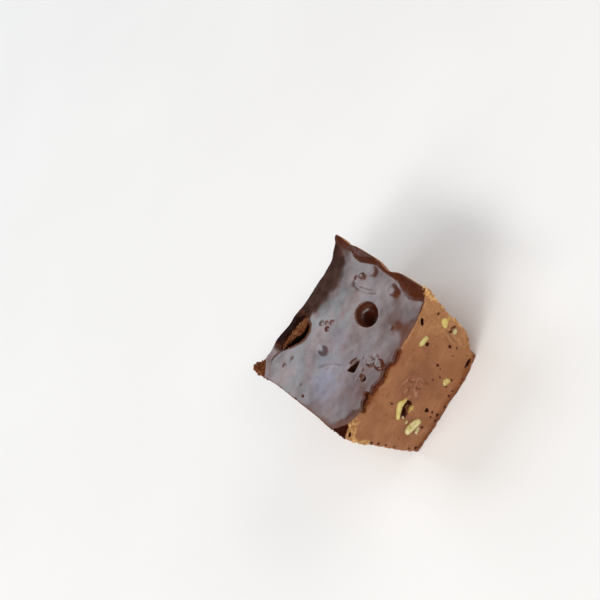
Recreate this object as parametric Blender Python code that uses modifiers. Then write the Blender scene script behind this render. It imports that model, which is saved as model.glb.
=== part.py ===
"""A square of chocolate walnut fudge, cut from a poured slab.

The skin of the slab is on top, with the rim that it drew up at the pan's wall along the far end (+X).
The cut side with the most walnut faces -Y. The piece stands on its flat base, with the base's centre
at the origin. Lengths below are in millimetres and are scaled to metres as the meshes are made.
"""

import math
import random

import bmesh
import bpy
from mathutils import Euler, Matrix, Vector

MM = 0.001
NAME = "fudge"

# Driving sizes of the block
HEIGHT = 21.3
FAR_AT_BASE = 15.0
FAR_FLARE = 4.3
FAR_FLARE_POWER = 1.7
NEAR_AT_BASE = 15.2
NEAR_FLARE = 3.8
NEAR_FLARE_POWER = 0.9
FRONT = 18.8
FRONT_BELLY = 0.8
BASE_BELLY = 0.4
BACK = 20.4

# Relief of the top
RIM_RISE = 1.4
RIM_WIDTH = 2.2
RIM_SLOPE_WIDTH = 2.6
FAR_BACK_PEAK = 1.0
BACK_ROLL_START = 13.5
BACK_ROLL_WIDTH = 6.5
BURR_RADIUS = 4.0
BURR_OUT = 1.6
BURR_UP = 0.8

# The skin is torn back along the front edge, and most at the near corner
TEAR_WIDTH = 2.3
TEAR_DEPTH = 0.45

# Mesh of the block
CELLS_X = 34
CELLS_Y = 34
CELLS_Z = 16
EDGE_ROUND = 0.45

# Walnut
WALNUT_PROUD = 0.35
WALNUT_SEED = 7
WALNUTS_PER_HIDDEN_SIDE = 5

FUDGE_BROWN = (0.29, 0.125, 0.065)
FUDGE_ROUGHNESS = 0.45


def smooth(value):
    """0 below 0, 1 above 1, with an eased step between."""
    value = min(1.0, max(0.0, value))
    return value * value * (3.0 - 2.0 * value)


def bell(distance, width):
    return math.exp(-((distance / width) ** 2))


def far_end(y, c):
    """X of the far end at height fraction c: it leans in toward the base, as the pan's wall did."""
    flare = FAR_FLARE * c**FAR_FLARE_POWER
    dip = 1.0 * bell(y + 3.2, 2.9) + 0.35 * bell(y - 13.5, 1.7)
    return FAR_AT_BASE + flare - dip * c**3


def near_end(y, c):
    """X of the near end, cut at a slant."""
    flare = NEAR_FLARE * c**NEAR_FLARE_POWER
    corners = 0.45 * bell(y - 19.0, 4.0) + 0.6 * bell(y + 16.0, 7.0)
    return -(NEAR_AT_BASE + flare + corners * c)


def front_side(x, c):
    """Y of the cut side, which bellies out a little along its middle and more at its base."""
    belly = FRONT_BELLY * (1.0 - (x / 19.0) ** 2)
    base = BASE_BELLY * (1.0 - c) * (1.0 - (x / 15.0) ** 2)
    return -(FRONT + belly + base)


def back_side(x, c):
    """Y of the back, drawn in toward the far corner."""
    return BACK - 1.9 * smooth((x - 8.0) / 12.0) - 0.7 * (1.0 - c)


def top_height(x, y):
    """Height of the skin: level, drawn up at the pan's wall, rolled over and raised along the back."""
    slope = RIM_WIDTH + RIM_SLOPE_WIDTH * smooth((-y - 5.0) / 4.0)
    rim = RIM_RISE * smooth((x - 19.3 + slope) / slope)
    peak = FAR_BACK_PEAK * bell(x - 19.3, 3.0) * bell(y - 18.0, 3.5)
    front_corner = 0.6 * bell(x - 19.3, 3.0) * bell(y + 19.0, 3.0)
    at_back = 0.9 * smooth((-x - 2.0) / 6.0) - 1.4 * bell(x - 8.5, 7.0)
    roll = at_back * smooth((y - BACK_ROLL_START) / BACK_ROLL_WIDTH)
    sag = 0.12 * math.sin(0.35 * x + 1.0) * math.sin(0.3 * y + 0.4)
    near_rise = 0.3 * smooth((-x - 15.0) / 5.0)
    return HEIGHT + rim + peak + front_corner + roll + sag + near_rise


def groove_depth(x, y):
    """The groove that winds behind the rim, and the crease that curves round below it."""
    middle = 18.0 - 0.8 * math.sin((y - 4.5) * math.pi / 9.0)
    groove = 0.5 * bell(x - middle, 0.8) * smooth((y - 3.0) / 2.0) * smooth((14.5 - y) / 2.0)
    curve = 11.6 + 0.05 * (y - 2.8) ** 2
    crease = 0.25 * bell(x - curve, 0.9) * smooth((y + 4.5) / 2.0) * smooth((9.0 - y) / 2.0)
    return groove + crease


def tear_width(x):
    """How far the skin is torn back from the front edge."""
    along = smooth((5.5 - x) / 5.0)
    bite = 0.6 * bell(x + 8.0, 3.5)
    corner = 3.4 * smooth((-13.0 - x) / 6.5)
    return TEAR_WIDTH * along + bite + corner


def torn(x, y):
    """The step down from the skin to the bare fudge, and the slope from there to the cut side."""
    beyond = FRONT_BELLY * (1.0 - (x / 19.0) ** 2) + FRONT + y
    width = tear_width(x)
    return TEAR_DEPTH * smooth((width - beyond) / 0.9) * smooth(width / 1.5)


def place(u, v, c):
    """A point of the unit block (u and v from -1 to 1, c from 0 to 1) moved to the block's form."""
    x = 19.0 * u
    y = 19.8 * v
    near = near_end(y, c)
    x = near + (far_end(y, c) - near) * (u + 1.0) / 2.0
    front = front_side(x, c)
    y = front + (back_side(x, c) - front) * (v + 1.0) / 2.0
    z = (top_height(x, y) - groove_depth(x, y) - torn(x, y)) * c
    burr = bell(math.hypot(u + 1.0, v - 1.0) * 19.4, BURR_RADIUS) * c**4
    return Vector((x - 0.3 * burr, y + BURR_OUT * burr, z + BURR_UP * burr))


def new_object(name, bm, collection):
    """Make an object of a bmesh that is in millimetres."""
    bmesh.ops.scale(bm, vec=(MM, MM, MM), verts=bm.verts)
    mesh = bpy.data.meshes.new(name)
    bm.to_mesh(mesh)
    bm.free()
    thing = bpy.data.objects.new(name, mesh)
    collection.objects.link(thing)
    return thing


def subdivide_along(bm, axis, cells):
    edges = [
        edge
        for edge in bm.edges
        if abs((edge.verts[0].co - edge.verts[1].co)[axis]) > 0.5
    ]
    bmesh.ops.subdivide_edges(bm, edges=edges, cuts=cells - 1, use_grid_fill=True)


def build_block(collection):
    bm = bmesh.new()
    bmesh.ops.create_cube(bm, size=2.0)
    for axis, cells in enumerate((CELLS_X, CELLS_Y, CELLS_Z)):
        subdivide_along(bm, axis, cells)
    for vert in bm.verts:
        vert.co = place(vert.co.x, vert.co.y, (vert.co.z + 1.0) / 2.0)
    base = [
        vert
        for vert in bm.verts
        if vert.co.z < 1e-6 and all(abs(edge.other_vert(vert).co.z) < 1e-6 for edge in vert.link_edges)
    ]
    bmesh.ops.dissolve_verts(bm, verts=base)
    block = new_object(NAME, bm, collection)
    rounding = block.modifiers.new("rounded edges", "BEVEL")
    rounding.width = EDGE_ROUND * MM
    rounding.segments = 2
    rounding.limit_method = "ANGLE"
    rounding.angle_limit = math.radians(50.0)
    return block


def lump(name, collection, centre, radii, turn=(0.0, 0.0, 0.0), detail=2, seed=None):
    """A low round body: a bubble, a crumb or a walnut bit, uneven when it has a seed."""
    bm = bmesh.new()
    bmesh.ops.create_icosphere(bm, subdivisions=detail, radius=1.0)
    if seed is not None:
        draw = random.Random(seed)
        for vert in bm.verts:
            vert.co *= draw.uniform(0.82, 1.12)
    bmesh.ops.scale(bm, vec=radii, verts=bm.verts)
    spin = Euler([math.radians(angle) for angle in turn]).to_matrix()
    bmesh.ops.rotate(bm, cent=(0, 0, 0), matrix=spin, verts=bm.verts)
    bmesh.ops.translate(bm, vec=centre, verts=bm.verts)
    return new_object(name, bm, collection)


def wedge(name, collection, start, end, width, depth, up):
    """A cutter between two points of the surface: wide at the top and narrow below."""
    start = Vector(start)
    end = Vector(end)
    along = end - start
    across = Vector(up).cross(along).normalized()
    bm = bmesh.new()
    bmesh.ops.create_cube(bm, size=1.0)
    for vert in bm.verts:
        spread = width if vert.co.z > 0 else width * 0.35
        height = 1.2 if vert.co.z > 0 else -depth
        point = start + along * (vert.co.x + 0.5)
        vert.co = point + across * vert.co.y * spread + Vector(up) * height
    bmesh.ops.recalc_face_normals(bm, faces=bm.faces)
    return new_object(name, bm, collection)


# Bubbles that stand up from the skin: x, y and radius
BLISTERS = (
    (16.4, 1.9, 1.2),
    (13.9, 6.1, 1.2),
    (15.3, -8.0, 1.5),
    (-5.6, 3.9, 1.2),
    (-0.9, -12.7, 1.0),
    (-1.1, -14.6, 1.1),
    (-1.0, -16.9, 1.0),
    (8.3, -15.3, 1.2),
    (11.4, 14.9, 1.3),
)

# Bubbles that burst: x, y, half length in x, half length in y and depth
CRATERS = (
    (7.1, -3.6, 2.75, 4.0, 2.6),
    (-0.3, 7.2, 1.2, 1.4, 0.7),
    (-5.4, -13.0, 0.7, 0.8, 0.6),
    (-11.5, 12.0, 0.9, 0.7, 0.5),
    (-13.9, 13.6, 0.8, 0.6, 0.5),
)
LARGE_CRATER = 2.0

# Walnut in the cut side: x, z, radius along, radius across and turn in degrees
FRONT_WALNUTS = (
    (14.6, 13.1, 1.35, 1.1, 60.0),
    (8.4, 16.3, 1.6, 1.0, 55.0),
    (3.0, 4.1, 1.4, 0.9, 20.0),
    (-7.5, 12.8, 2.6, 0.9, 35.0),
    (-5.7, 9.9, 1.3, 0.8, 80.0),
    (-10.0, 5.9, 2.6, 1.35, -25.0),
)

# Holes in the cut side: x, z and radius
FRONT_PORES = (
    (12.3, 19.3, 0.55),
    (-6.2, 11.0, 0.7),
    (10.4, 8.5, 0.35),
)

# The crack beside the piece of skin that lifted at the back, as x and y along it
CRACK = (
    (-11.2, 16.2),
    (-8.6, 14.6),
    (-5.8, 13.1),
    (-3.8, 13.1),
    (-2.1, 14.4),
)
CRACK_WIDTH = 1.4
CRACK_DEPTH = 2.0

# The corner of the base that broke off at the far end
BREAK_CENTRE = (14.5, -17.2, 0.8)
BREAK_SIZE = (9.0, 10.0, 4.0)
BREAK_LEAN = -48.0
BREAK_TURN = 10.0

# The three-sided hole where the skin broke
THREE_SIDED = (-4.4, -8.6)
THREE_SIDED_RADIUS = 1.4
THREE_SIDED_DEPTH = 1.6
THREE_SIDED_TURN = 20.0


def add_blisters(collection):
    for number, (x, y, radius) in enumerate(BLISTERS):
        centre = (x, y, top_height(x, y) - 0.45 * radius)
        lump(f"blister {number}", collection, centre, (radius, radius, radius * 0.8))


def add_walnut(collection):
    for number, (x, z, along, across, turn) in enumerate(FRONT_WALNUTS):
        depth = 1.4
        surface = front_side(x, z / HEIGHT)
        centre = (x, surface + depth - WALNUT_PROUD, z)
        lump(f"walnut {number}", collection, centre, (along, depth, across), (0.0, -turn, 0.0), seed=number)
    draw = random.Random(WALNUT_SEED)
    for side in ("back", "far", "near"):
        for number in range(WALNUTS_PER_HIDDEN_SIDE):
            step = (number + 0.5) / WALNUTS_PER_HIDDEN_SIDE * 2.0 - 1.0
            across = step * 14.5 + draw.uniform(-1.5, 1.5)
            z = draw.uniform(4.0, 16.0)
            c = z / HEIGHT
            depth = 1.4
            if side == "back":
                centre = (across, back_side(across, c) - depth + WALNUT_PROUD, z)
            elif side == "far":
                centre = (far_end(across, c) - depth + WALNUT_PROUD, across, z)
            else:
                centre = (near_end(across, c) + depth - WALNUT_PROUD, across, z)
            long = draw.uniform(1.3, 2.5)
            short = draw.uniform(0.9, 1.5)
            if side == "back":
                radii = (long, depth, short)
                turn = (0.0, draw.uniform(0.0, 180.0), 0.0)
            else:
                radii = (depth, long, short)
                turn = (draw.uniform(0.0, 180.0), 0.0, 0.0)
            lump(f"walnut {side} {number}", collection, centre, radii, turn, seed=100 + number)


def turned(degrees, axis):
    return Matrix.Rotation(math.radians(degrees), 3, axis)


def add_craters(collection):
    for number, (x, y, half_x, half_y, depth) in enumerate(CRATERS):
        centre = (x, y, top_height(x, y) + 0.15 * depth)
        detail = 3 if half_x > LARGE_CRATER else 2
        lump(f"crater {number}", collection, centre, (half_x, half_y, depth * 1.15), detail=detail)
    for number, (x, z, radius) in enumerate(FRONT_PORES):
        centre = (x, front_side(x, z / HEIGHT) - 0.1, z)
        lump(f"pore {number}", collection, centre, (radius, 1.3, radius * 1.3))


def add_crack(collection):
    for number, (start, end) in enumerate(zip(CRACK, CRACK[1:])):
        overlap = (Vector(end) - Vector(start)) * 0.12
        first = Vector(start) - overlap
        last = Vector(end) + overlap
        low = (first.x, first.y, top_height(*start))
        high = (last.x, last.y, top_height(*end))
        wedge(f"crack {number}", collection, low, high, CRACK_WIDTH, CRACK_DEPTH, (0.0, 0.0, 1.0))


def add_three_sided_hole(collection):
    bm = bmesh.new()
    height = THREE_SIDED_DEPTH + 1.0
    bmesh.ops.create_cone(bm, cap_ends=True, segments=3, radius1=0.3, radius2=THREE_SIDED_RADIUS, depth=height)
    bmesh.ops.rotate(bm, cent=(0, 0, 0), matrix=turned(THREE_SIDED_TURN, "Z"), verts=bm.verts)
    centre = (*THREE_SIDED, HEIGHT - THREE_SIDED_DEPTH + height / 2.0)
    bmesh.ops.translate(bm, vec=centre, verts=bm.verts)
    new_object("three-sided hole", bm, collection)


def add_broken_corner(collection):
    bm = bmesh.new()
    bmesh.ops.create_cube(bm, size=1.0)
    bmesh.ops.scale(bm, vec=BREAK_SIZE, verts=bm.verts)
    bmesh.ops.rotate(bm, cent=(0, 0, 0), matrix=turned(BREAK_LEAN, "Y"), verts=bm.verts)
    bmesh.ops.rotate(bm, cent=(0, 0, 0), matrix=turned(BREAK_TURN, "Z"), verts=bm.verts)
    bmesh.ops.translate(bm, vec=BREAK_CENTRE, verts=bm.verts)
    new_object("broken corner", bm, collection)


def boolean(thing, operation, collection):
    cut = thing.modifiers.new(operation.lower(), "BOOLEAN")
    cut.operation = operation
    cut.operand_type = "COLLECTION"
    cut.collection = collection
    cut.solver = "EXACT"


def apply_modifiers(thing):
    graph = bpy.context.evaluated_depsgraph_get()
    mesh = bpy.data.meshes.new_from_object(thing.evaluated_get(graph))
    thing.modifiers.clear()
    thing.data = mesh


def remove_collection(collection):
    for thing in list(collection.objects):
        bpy.data.objects.remove(thing, do_unlink=True)
    bpy.data.collections.remove(collection)


def centre_on_base(thing):
    """Put the middle of the bounding box on the Z axis."""
    xs = [vert.co.x for vert in thing.data.vertices]
    ys = [vert.co.y for vert in thing.data.vertices]
    zs = [vert.co.z for vert in thing.data.vertices]
    middle = Vector(((min(xs) + max(xs)) / 2, (min(ys) + max(ys)) / 2, min(zs)))
    thing.data.transform(Matrix.Translation(-middle))
    print("middle of the box, mm:", [round(value / MM, 4) for value in middle])


def fudge_material():
    material = bpy.data.materials.new("fudge")
    material.use_nodes = True
    shader = material.node_tree.nodes["Principled BSDF"]
    shader.inputs["Base Color"].default_value = (*FUDGE_BROWN, 1.0)
    shader.inputs["Roughness"].default_value = FUDGE_ROUGHNESS
    shader.inputs["Metallic"].default_value = 0.0
    return material


def new_collection(name):
    collection = bpy.data.collections.new(name)
    bpy.context.scene.collection.children.link(collection)
    return collection


def main():
    for thing in list(bpy.data.objects):
        bpy.data.objects.remove(thing, do_unlink=True)
    parts = new_collection("chocolate walnut fudge")
    added = new_collection("walnut and blisters")
    cutters = new_collection("cutters")
    block = build_block(parts)
    add_blisters(added)
    add_walnut(added)
    add_craters(cutters)
    add_crack(cutters)
    add_three_sided_hole(cutters)
    add_broken_corner(cutters)
    for cutter in cutters.objects:
        cutter.hide_render = True
        cutter.display_type = "WIRE"
    boolean(block, "UNION", added)
    boolean(block, "DIFFERENCE", cutters)
    apply_modifiers(block)
    remove_collection(added)
    remove_collection(cutters)
    centre_on_base(block)
    block.data.materials.clear()
    block.data.materials.append(fudge_material())
    block.data.shade_smooth()
    block.data.set_sharp_from_angle(angle=math.radians(40.0))


main()
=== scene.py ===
"""The looks of a cut square of chocolate walnut fudge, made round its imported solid.

Lengths are in millimetres in the block's own frame until a mesh is made: X runs from the near end to the
far end with the upturned rim, -Y looks out of the cut side with the most walnut, and Z is up from the base.
The block is one implicit form, negative inside, which is sampled on a grid, skinned and settled on its zero.
"""
import functools
import math
import random

import bmesh
import bpy
import numpy as np
from mathutils import Matrix, Vector

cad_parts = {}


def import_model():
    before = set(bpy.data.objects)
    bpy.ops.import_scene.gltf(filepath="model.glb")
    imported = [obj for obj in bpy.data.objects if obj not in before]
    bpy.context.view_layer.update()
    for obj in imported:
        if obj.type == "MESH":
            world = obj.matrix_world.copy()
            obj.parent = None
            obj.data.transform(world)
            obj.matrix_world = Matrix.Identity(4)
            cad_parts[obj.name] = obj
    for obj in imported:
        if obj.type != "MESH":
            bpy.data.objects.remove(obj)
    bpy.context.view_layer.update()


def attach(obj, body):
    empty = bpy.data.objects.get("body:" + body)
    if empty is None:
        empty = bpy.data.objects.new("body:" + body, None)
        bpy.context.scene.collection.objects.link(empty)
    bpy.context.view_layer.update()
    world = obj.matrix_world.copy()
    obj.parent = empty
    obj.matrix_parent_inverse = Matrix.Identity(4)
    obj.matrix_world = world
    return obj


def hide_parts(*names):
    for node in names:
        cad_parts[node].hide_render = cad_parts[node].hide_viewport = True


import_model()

MM = 0.001

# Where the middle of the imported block's box lies in the frame that the shapes below are written in
MIDDLE = (-0.2276, 0.8266)

# Driving sizes of the block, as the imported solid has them
HEIGHT = 21.3
FAR_AT_BASE = 15.0
FAR_FLARE = 4.3
FAR_FLARE_POWER = 1.7
NEAR_AT_BASE = 15.2
NEAR_FLARE = 3.8
NEAR_FLARE_POWER = 0.9
FRONT = 18.8
FRONT_BELLY = 0.8
FRONT_HALF = 19.0
BASE_BELLY = 0.4
BASE_HALF = 15.0
BACK = 20.4
RIM_RISE = 1.4
RIM_EDGE = 19.3
FAR_BACK_PEAK = 1.0
FAR_FRONT_PEAK = 0.6
BURR_RADIUS = 4.0
BURR_OUT = 1.6
BURR_UP = 1.0

# Swells of the sides: place along the side, half width and height. They are dips in the far end's top, the
# near end's two corners, and the foot of the cut side
FAR_DIPS = ((-3.2, 2.9, 1.0), (13.5, 1.7, 0.35))
NEAR_CORNERS = ((19.0, 4.0, 0.45), (-16.0, 7.0, 0.6))
FRONT_FOOT = ((5.5, 4.5, 0.6),)

# The true distance to a leaning side, as a share of the one along an axis
FAR_LEAN = 0.97
NEAR_LEAN = 0.98
TOP_LEAN = 0.96

# The slab of Y in which the cut side lies
CUT_SLAB = (-22.0, -17.5)

# Spacing of the grids that the block and the walnut bits are skinned on
BLOCK_STEPS = ((0.22, 0.24, 0.29))
WALNUT_STEP = 0.15

# The grid's first and last corner, and how near the base a point is put on it
GRID_LOW = (-21.5, -21.5, -0.9)
GRID_HIGH = (21.0, 24.0, 25.0)
BASE_FLAT = 0.02

# How near the plain block's skin a place of the grid gets the full form
BAND = 1.0

# Part of a grid step by which a point may move onto the form in one round
SETTLE_SHARE = 0.6

# Cells of the random values after which they repeat
LATTICE = 32

# Higher and further out than anything on the block
BEYOND = 30.0


# Plain functions of distance

def smooth(value):
    """0 below 0, 1 above 1, with an eased step between."""
    value = np.clip(value, 0.0, 1.0)
    return value * value * (3.0 - 2.0 * value)


def after(value, start, width):
    """0 up to the start, and 1 from a width past it."""
    return smooth((value - start) / width)


def before(value, end, width):
    """0 from the end on, and 1 up to a width short of it."""
    return smooth((end - value) / width)


def bell(distance, width):
    """1 where the distance is 0, and nearly 0 past twice the width."""
    return np.exp(-((distance / width) ** 2))


def swells(value, table):
    """Swells along one direction, each given by its place, half width and height."""
    return sum(height * bell(value - place, width) for place, width, height in table)


def largest(*values):
    """The largest of several values at each place."""
    return functools.reduce(np.maximum, values)


def round_max(a, b, width):
    """The larger of two distances, eased where they are nearly equal, so that the edge is round."""
    near = np.maximum(width - np.abs(a - b), 0.0) / width
    return np.maximum(a, b) + near * near * width * 0.25


def wobble(x, y, z, cell, seed):
    """Smooth random values from -1 to 1 that change over about one cell."""
    table = np.random.default_rng(seed).uniform(-1.0, 1.0, (LATTICE,) * 3).astype(np.float32)
    parts = []
    for value, shift in ((x, 211.3), (y, 307.7), (z, 401.9)):
        scaled = np.asarray(value, np.float32) / cell + shift
        whole = np.floor(scaled)
        share = scaled - whole
        whole = whole.astype(np.int32) % LATTICE
        parts.append((whole, (whole + 1) % LATTICE, share * share * (3.0 - 2.0 * share)))
    (x0, x1, u), (y0, y1, v), (z0, z1, w) = parts
    low = (table[x0, y0, z0] * (1 - u) + table[x1, y0, z0] * u) * (1 - v)
    low = low + (table[x0, y1, z0] * (1 - u) + table[x1, y1, z0] * u) * v
    high = (table[x0, y0, z1] * (1 - u) + table[x1, y0, z1] * u) * (1 - v)
    high = high + (table[x0, y1, z1] * (1 - u) + table[x1, y1, z1] * u) * v
    return low * (1 - w) + high * w


def flat_wobble(x, y, cell, seed):
    """A wobble that is the same at every height."""
    return wobble(x, y, 0.0 * x, cell, seed)


def rough(x, y, z, cell, seed, layers=3):
    """Several sizes of wobble together, each half as large and half as high as the last."""
    total = 0.0
    for layer in range(layers):
        total = total + wobble(x, y, z, cell / 2**layer, seed + layer) / 2**layer
    return total


def path_distance(a, b, points):
    """Distance from (a, b) to a line through points, and the share of the line before the nearest place."""
    best = np.full(np.broadcast(a, b).shape, 1e9)
    along = np.zeros_like(best)
    spans = [math.dist(start, end) for start, end in zip(points, points[1:])]
    done = 0.0
    for start, end, span in zip(points, points[1:], spans):
        da, db = (end[0] - start[0]) / span, (end[1] - start[1]) / span
        t = np.clip((a - start[0]) * da + (b - start[1]) * db, 0.0, span)
        gap = np.hypot(a - start[0] - t * da, b - start[1] - t * db)
        nearer = gap < best
        best = np.where(nearer, gap, best)
        along = np.where(nearer, (done + t) / sum(spans), along)
        done += span
    return best, along


def outline_distance(a, b, points):
    """Distance to a closed outline, negative inside it."""
    ring = points + points[:1]
    gap, _ = path_distance(a, b, ring)
    inside = np.zeros(gap.shape, bool)
    for (a0, b0), (a1, b1) in zip(ring, ring[1:]):
        if b0 != b1:
            inside ^= ((b0 > b) != (b1 > b)) & (a < (a1 - a0) * (b - b0) / (b1 - b0) + a0)
    return np.where(inside, -gap, gap)


def faded(along, ends=0.25):
    """1 in the middle of a line and 0 at its two ends."""
    return smooth(along / ends) * smooth((1.0 - along) / ends)


def follow(value, points):
    """A quantity that is given at some places and goes evenly between them."""
    return np.interp(value, [point[0] for point in points], [point[1] for point in points])


def reach_of(points, room):
    """The lowest and the highest place of some points, with room on each side."""
    low = [min(point[axis] for point in points) - room for axis in (0, 1)]
    high = [max(point[axis] for point in points) + room for axis in (0, 1)]
    return low, high


# The block's plain sides

def far_end(y, c):
    """X of the far end at height fraction c: it leans in toward the base, as the pan's wall did."""
    flare = FAR_FLARE * c**FAR_FLARE_POWER
    return FAR_AT_BASE + flare - swells(y, FAR_DIPS) * c**3


def near_end(y, c):
    flare = NEAR_FLARE * c**NEAR_FLARE_POWER
    return -(NEAR_AT_BASE + flare + swells(y, NEAR_CORNERS) * c)


def front_side(x, c):
    belly = FRONT_BELLY * (1.0 - (x / FRONT_HALF) ** 2)
    base = BASE_BELLY * (1.0 - c) * (1.0 - (x / BASE_HALF) ** 2)
    foot = swells(x, FRONT_FOOT) * (1.0 - c) ** 6
    return -(FRONT + belly + base + foot)


def back_side(x, c):
    burr = BURR_OUT * bell(x + 19.4, BURR_RADIUS) * c**4
    lip = 0.8 * bell(x - 10.0, 6.0) * c**4
    return BACK - 1.9 * after(x, 8.0, 12.0) - 0.7 * (1.0 - c) + burr + lip


# Where the skin starts up toward the far end's rim, and where it gets there, as y and x
RIM_START = (
    (-20.0, 16.8), (-17.3, 16.2), (-15.3, 15.4), (-13.2, 15.0), (-11.1, 15.4), (-8.9, 16.1),
    (-7.0, 16.8), (-4.7, 17.3), (-1.0, 17.4), (2.1, 17.8), (4.9, 17.2), (7.9, 16.4), (10.8, 16.6),
    (13.1, 17.5), (16.0, 17.0), (20.0, 15.5),
)
RIM_END = (
    (-20.0, 19.5), (-7.0, 19.5), (-5.0, 18.8), (-4.0, 18.4), (0.0, 18.5), (2.1, 18.9), (4.9, 18.3),
    (7.9, 17.5), (10.8, 17.7), (13.1, 18.7), (16.0, 19.3), (20.0, 19.3),
)
RIM_SHARE = 0.72
CROWN = 0.0012

# Where the skin starts to roll over along the back, as x and y, and how gently
ROLL_EASE = 1.8
ROLL_START = (
    (-4.0, 14.6), (0.0, 14.4), (2.5, 13.4), (5.0, 12.6), (7.2, 12.0), (9.0, 10.9), (11.5, 11.6),
    (14.4, 13.4), (15.6, 15.4), (18.0, 19.3),
)


def top_height(x, y):
    """Height of the skin: level, drawn up at the pan's wall, and rolled over along the back."""
    start = follow(y, RIM_START)
    end = follow(y, RIM_END)
    share = (x - start) / (end - start)
    even = np.clip(share, 0.0, 1.3) - 0.1 * smooth(share / 0.3)
    straight = before(y, -4.5, 2.0)
    eased = RIM_SHARE * smooth(share) + (1.0 - RIM_SHARE) * after(x, start, RIM_EDGE - start)
    rim = eased + (1.15 * even - eased) * straight
    peak = FAR_BACK_PEAK * bell(x - RIM_EDGE, 3.0) * bell(y - 18.0, 3.5)
    front_corner = FAR_FRONT_PEAK * bell(x - RIM_EDGE, 3.0) * bell(y + 19.0, 3.0)
    past = np.maximum(y - follow(x, ROLL_START) + 0.6, 0.0)
    drop = np.sqrt(past**2 + ROLL_EASE**2) - ROLL_EASE
    at_back = 0.055 * before(x, -5.0, 5.0) - 0.27 * after(x, -3.5, 4.0) * before(x, 17.5, 5.0)
    sag = 0.12 * np.sin(0.35 * x + 1.0) * np.sin(0.3 * y + 0.4)
    near_rise = 0.25 * before(x, -15.0, 5.0) - CROWN * np.maximum(-y - 4.0, 0.0) ** 2
    return HEIGHT + RIM_RISE * rim + peak + front_corner + at_back * drop + sag + near_rise


# Creases, streaks and folds of the skin: points as x and y, height, half width, and the part of each end
# over which the line fades
SKIN_LINES = (
    (((11.7, 7.1), (11.4, 5.9), (11.1, 3.9), (11.5, 1.3), (12.0, -0.9), (12.7, -2.8), (13.8, -2.9)),
     -0.15, 0.5, 0.15),
    (((18.0, 19.4), (16.7, 17.6), (15.6, 15.6), (14.4, 13.6)), -0.26, 0.62, 0.2),
    (((-9.9, 2.6), (-8.5, 0.2), (-7.2, -2.1), (-6.6, -4.7), (-6.5, -6.9)), -0.17, 0.64, 0.3),
    (((-5.9, -7.5), (-4.4, -8.4), (-2.7, -9.4)), 0.17, 0.4, 0.25),
    (((-4.6, -7.1), (-3.3, -8.0), (-2.4, -8.7)), -0.2, 0.3, 0.25),
    (((17.6, -7.4), (16.8, -9.8), (16.1, -12.0), (15.8, -13.9)), 0.06, 0.5, 0.25),
)

# The crack in which the gap beside the flake runs out
STRAIN_CRACK = ((-11.0, 16.6), (-12.7, 17.6), (-14.1, 18.2), (-15.6, 18.1))
STRAIN_DEPTH = 0.22
STRAIN_WIDTH = 0.22

# The edge of the skin along the cut side, as x and y: ragged where it tore
SKIN_EDGE = (
    (-19.9, -11.9), (-19.2, -12.7), (-18.0, -14.2), (-16.5, -15.9), (-15.2, -16.9), (-13.9, -17.4),
    (-12.4, -18.0), (-11.4, -18.2), (-11.0, -17.6), (-10.1, -17.0), (-8.9, -16.8), (-7.9, -16.2),
    (-7.2, -17.9), (-6.5, -17.4), (-5.9, -17.2), (-4.5, -18.0), (-3.5, -18.4), (-1.9, -18.1),
    (-0.7, -17.8), (0.6, -18.3), (1.3, -19.1), (1.9, -19.2), (3.5, -18.5), (5.2, -18.9), (7.7, -19.1),
    (12.7, -18.9), (16.9, -18.5), (20.0, -18.4),
)

# Over how far the skin thins out at an edge
SKIN_END = 0.16

# Y where the torn band below the ragged edge ends, and X where it starts at the near end
TORN_OUTER = -18.6
TORN_NEAR = -12.3

# The gap beside the broken flake at the back, as x and y
GAP = (
    (-11.3, 16.5), (-9.8, 15.4), (-8.5, 14.0), (-7.0, 12.6), (-5.7, 12.0), (-4.2, 12.0), (-2.8, 12.6),
    (-2.2, 13.5), (-3.0, 13.4), (-4.4, 13.2), (-5.6, 13.7), (-6.9, 14.8), (-8.4, 15.7), (-10.0, 16.4),
)
GAP_DEPTH = 2.6

# The middle of the gap, past which the flake is lifted, as x and y
GAP_MIDDLE = (
    (-13.0, 17.4), (-11.3, 16.8), (-9.9, 16.0), (-8.4, 15.0), (-6.9, 13.9), (-5.6, 13.0), (-4.2, 12.7),
    (-2.6, 13.1), (-1.0, 14.2),
)

# The flake's broken face, as x and y, and how far the flake is lifted
FLAKE_FACE = (
    (-11.4, 17.2), (-8.8, 17.7), (-6.3, 17.9), (-4.0, 18.3), (-2.4, 18.0), (-1.4, 16.8), (-1.0, 15.4),
    (-1.4, 14.2), (-2.0, 13.5), (-3.2, 12.7), (-5.0, 12.4), (-6.8, 12.9), (-8.9, 14.6), (-10.9, 16.0),
)
FLAKE_RISE = 0.75

# How far back the flake's broken face is light before painted shade darkens it, as x and y
FLAKE_CRUMB = (
    (-12.0, 17.0), (-10.6, 16.8), (-8.8, 16.6), (-6.0, 15.9), (-3.2, 15.3), (-1.6, 14.6), (0.0, 13.6),
)

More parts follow.
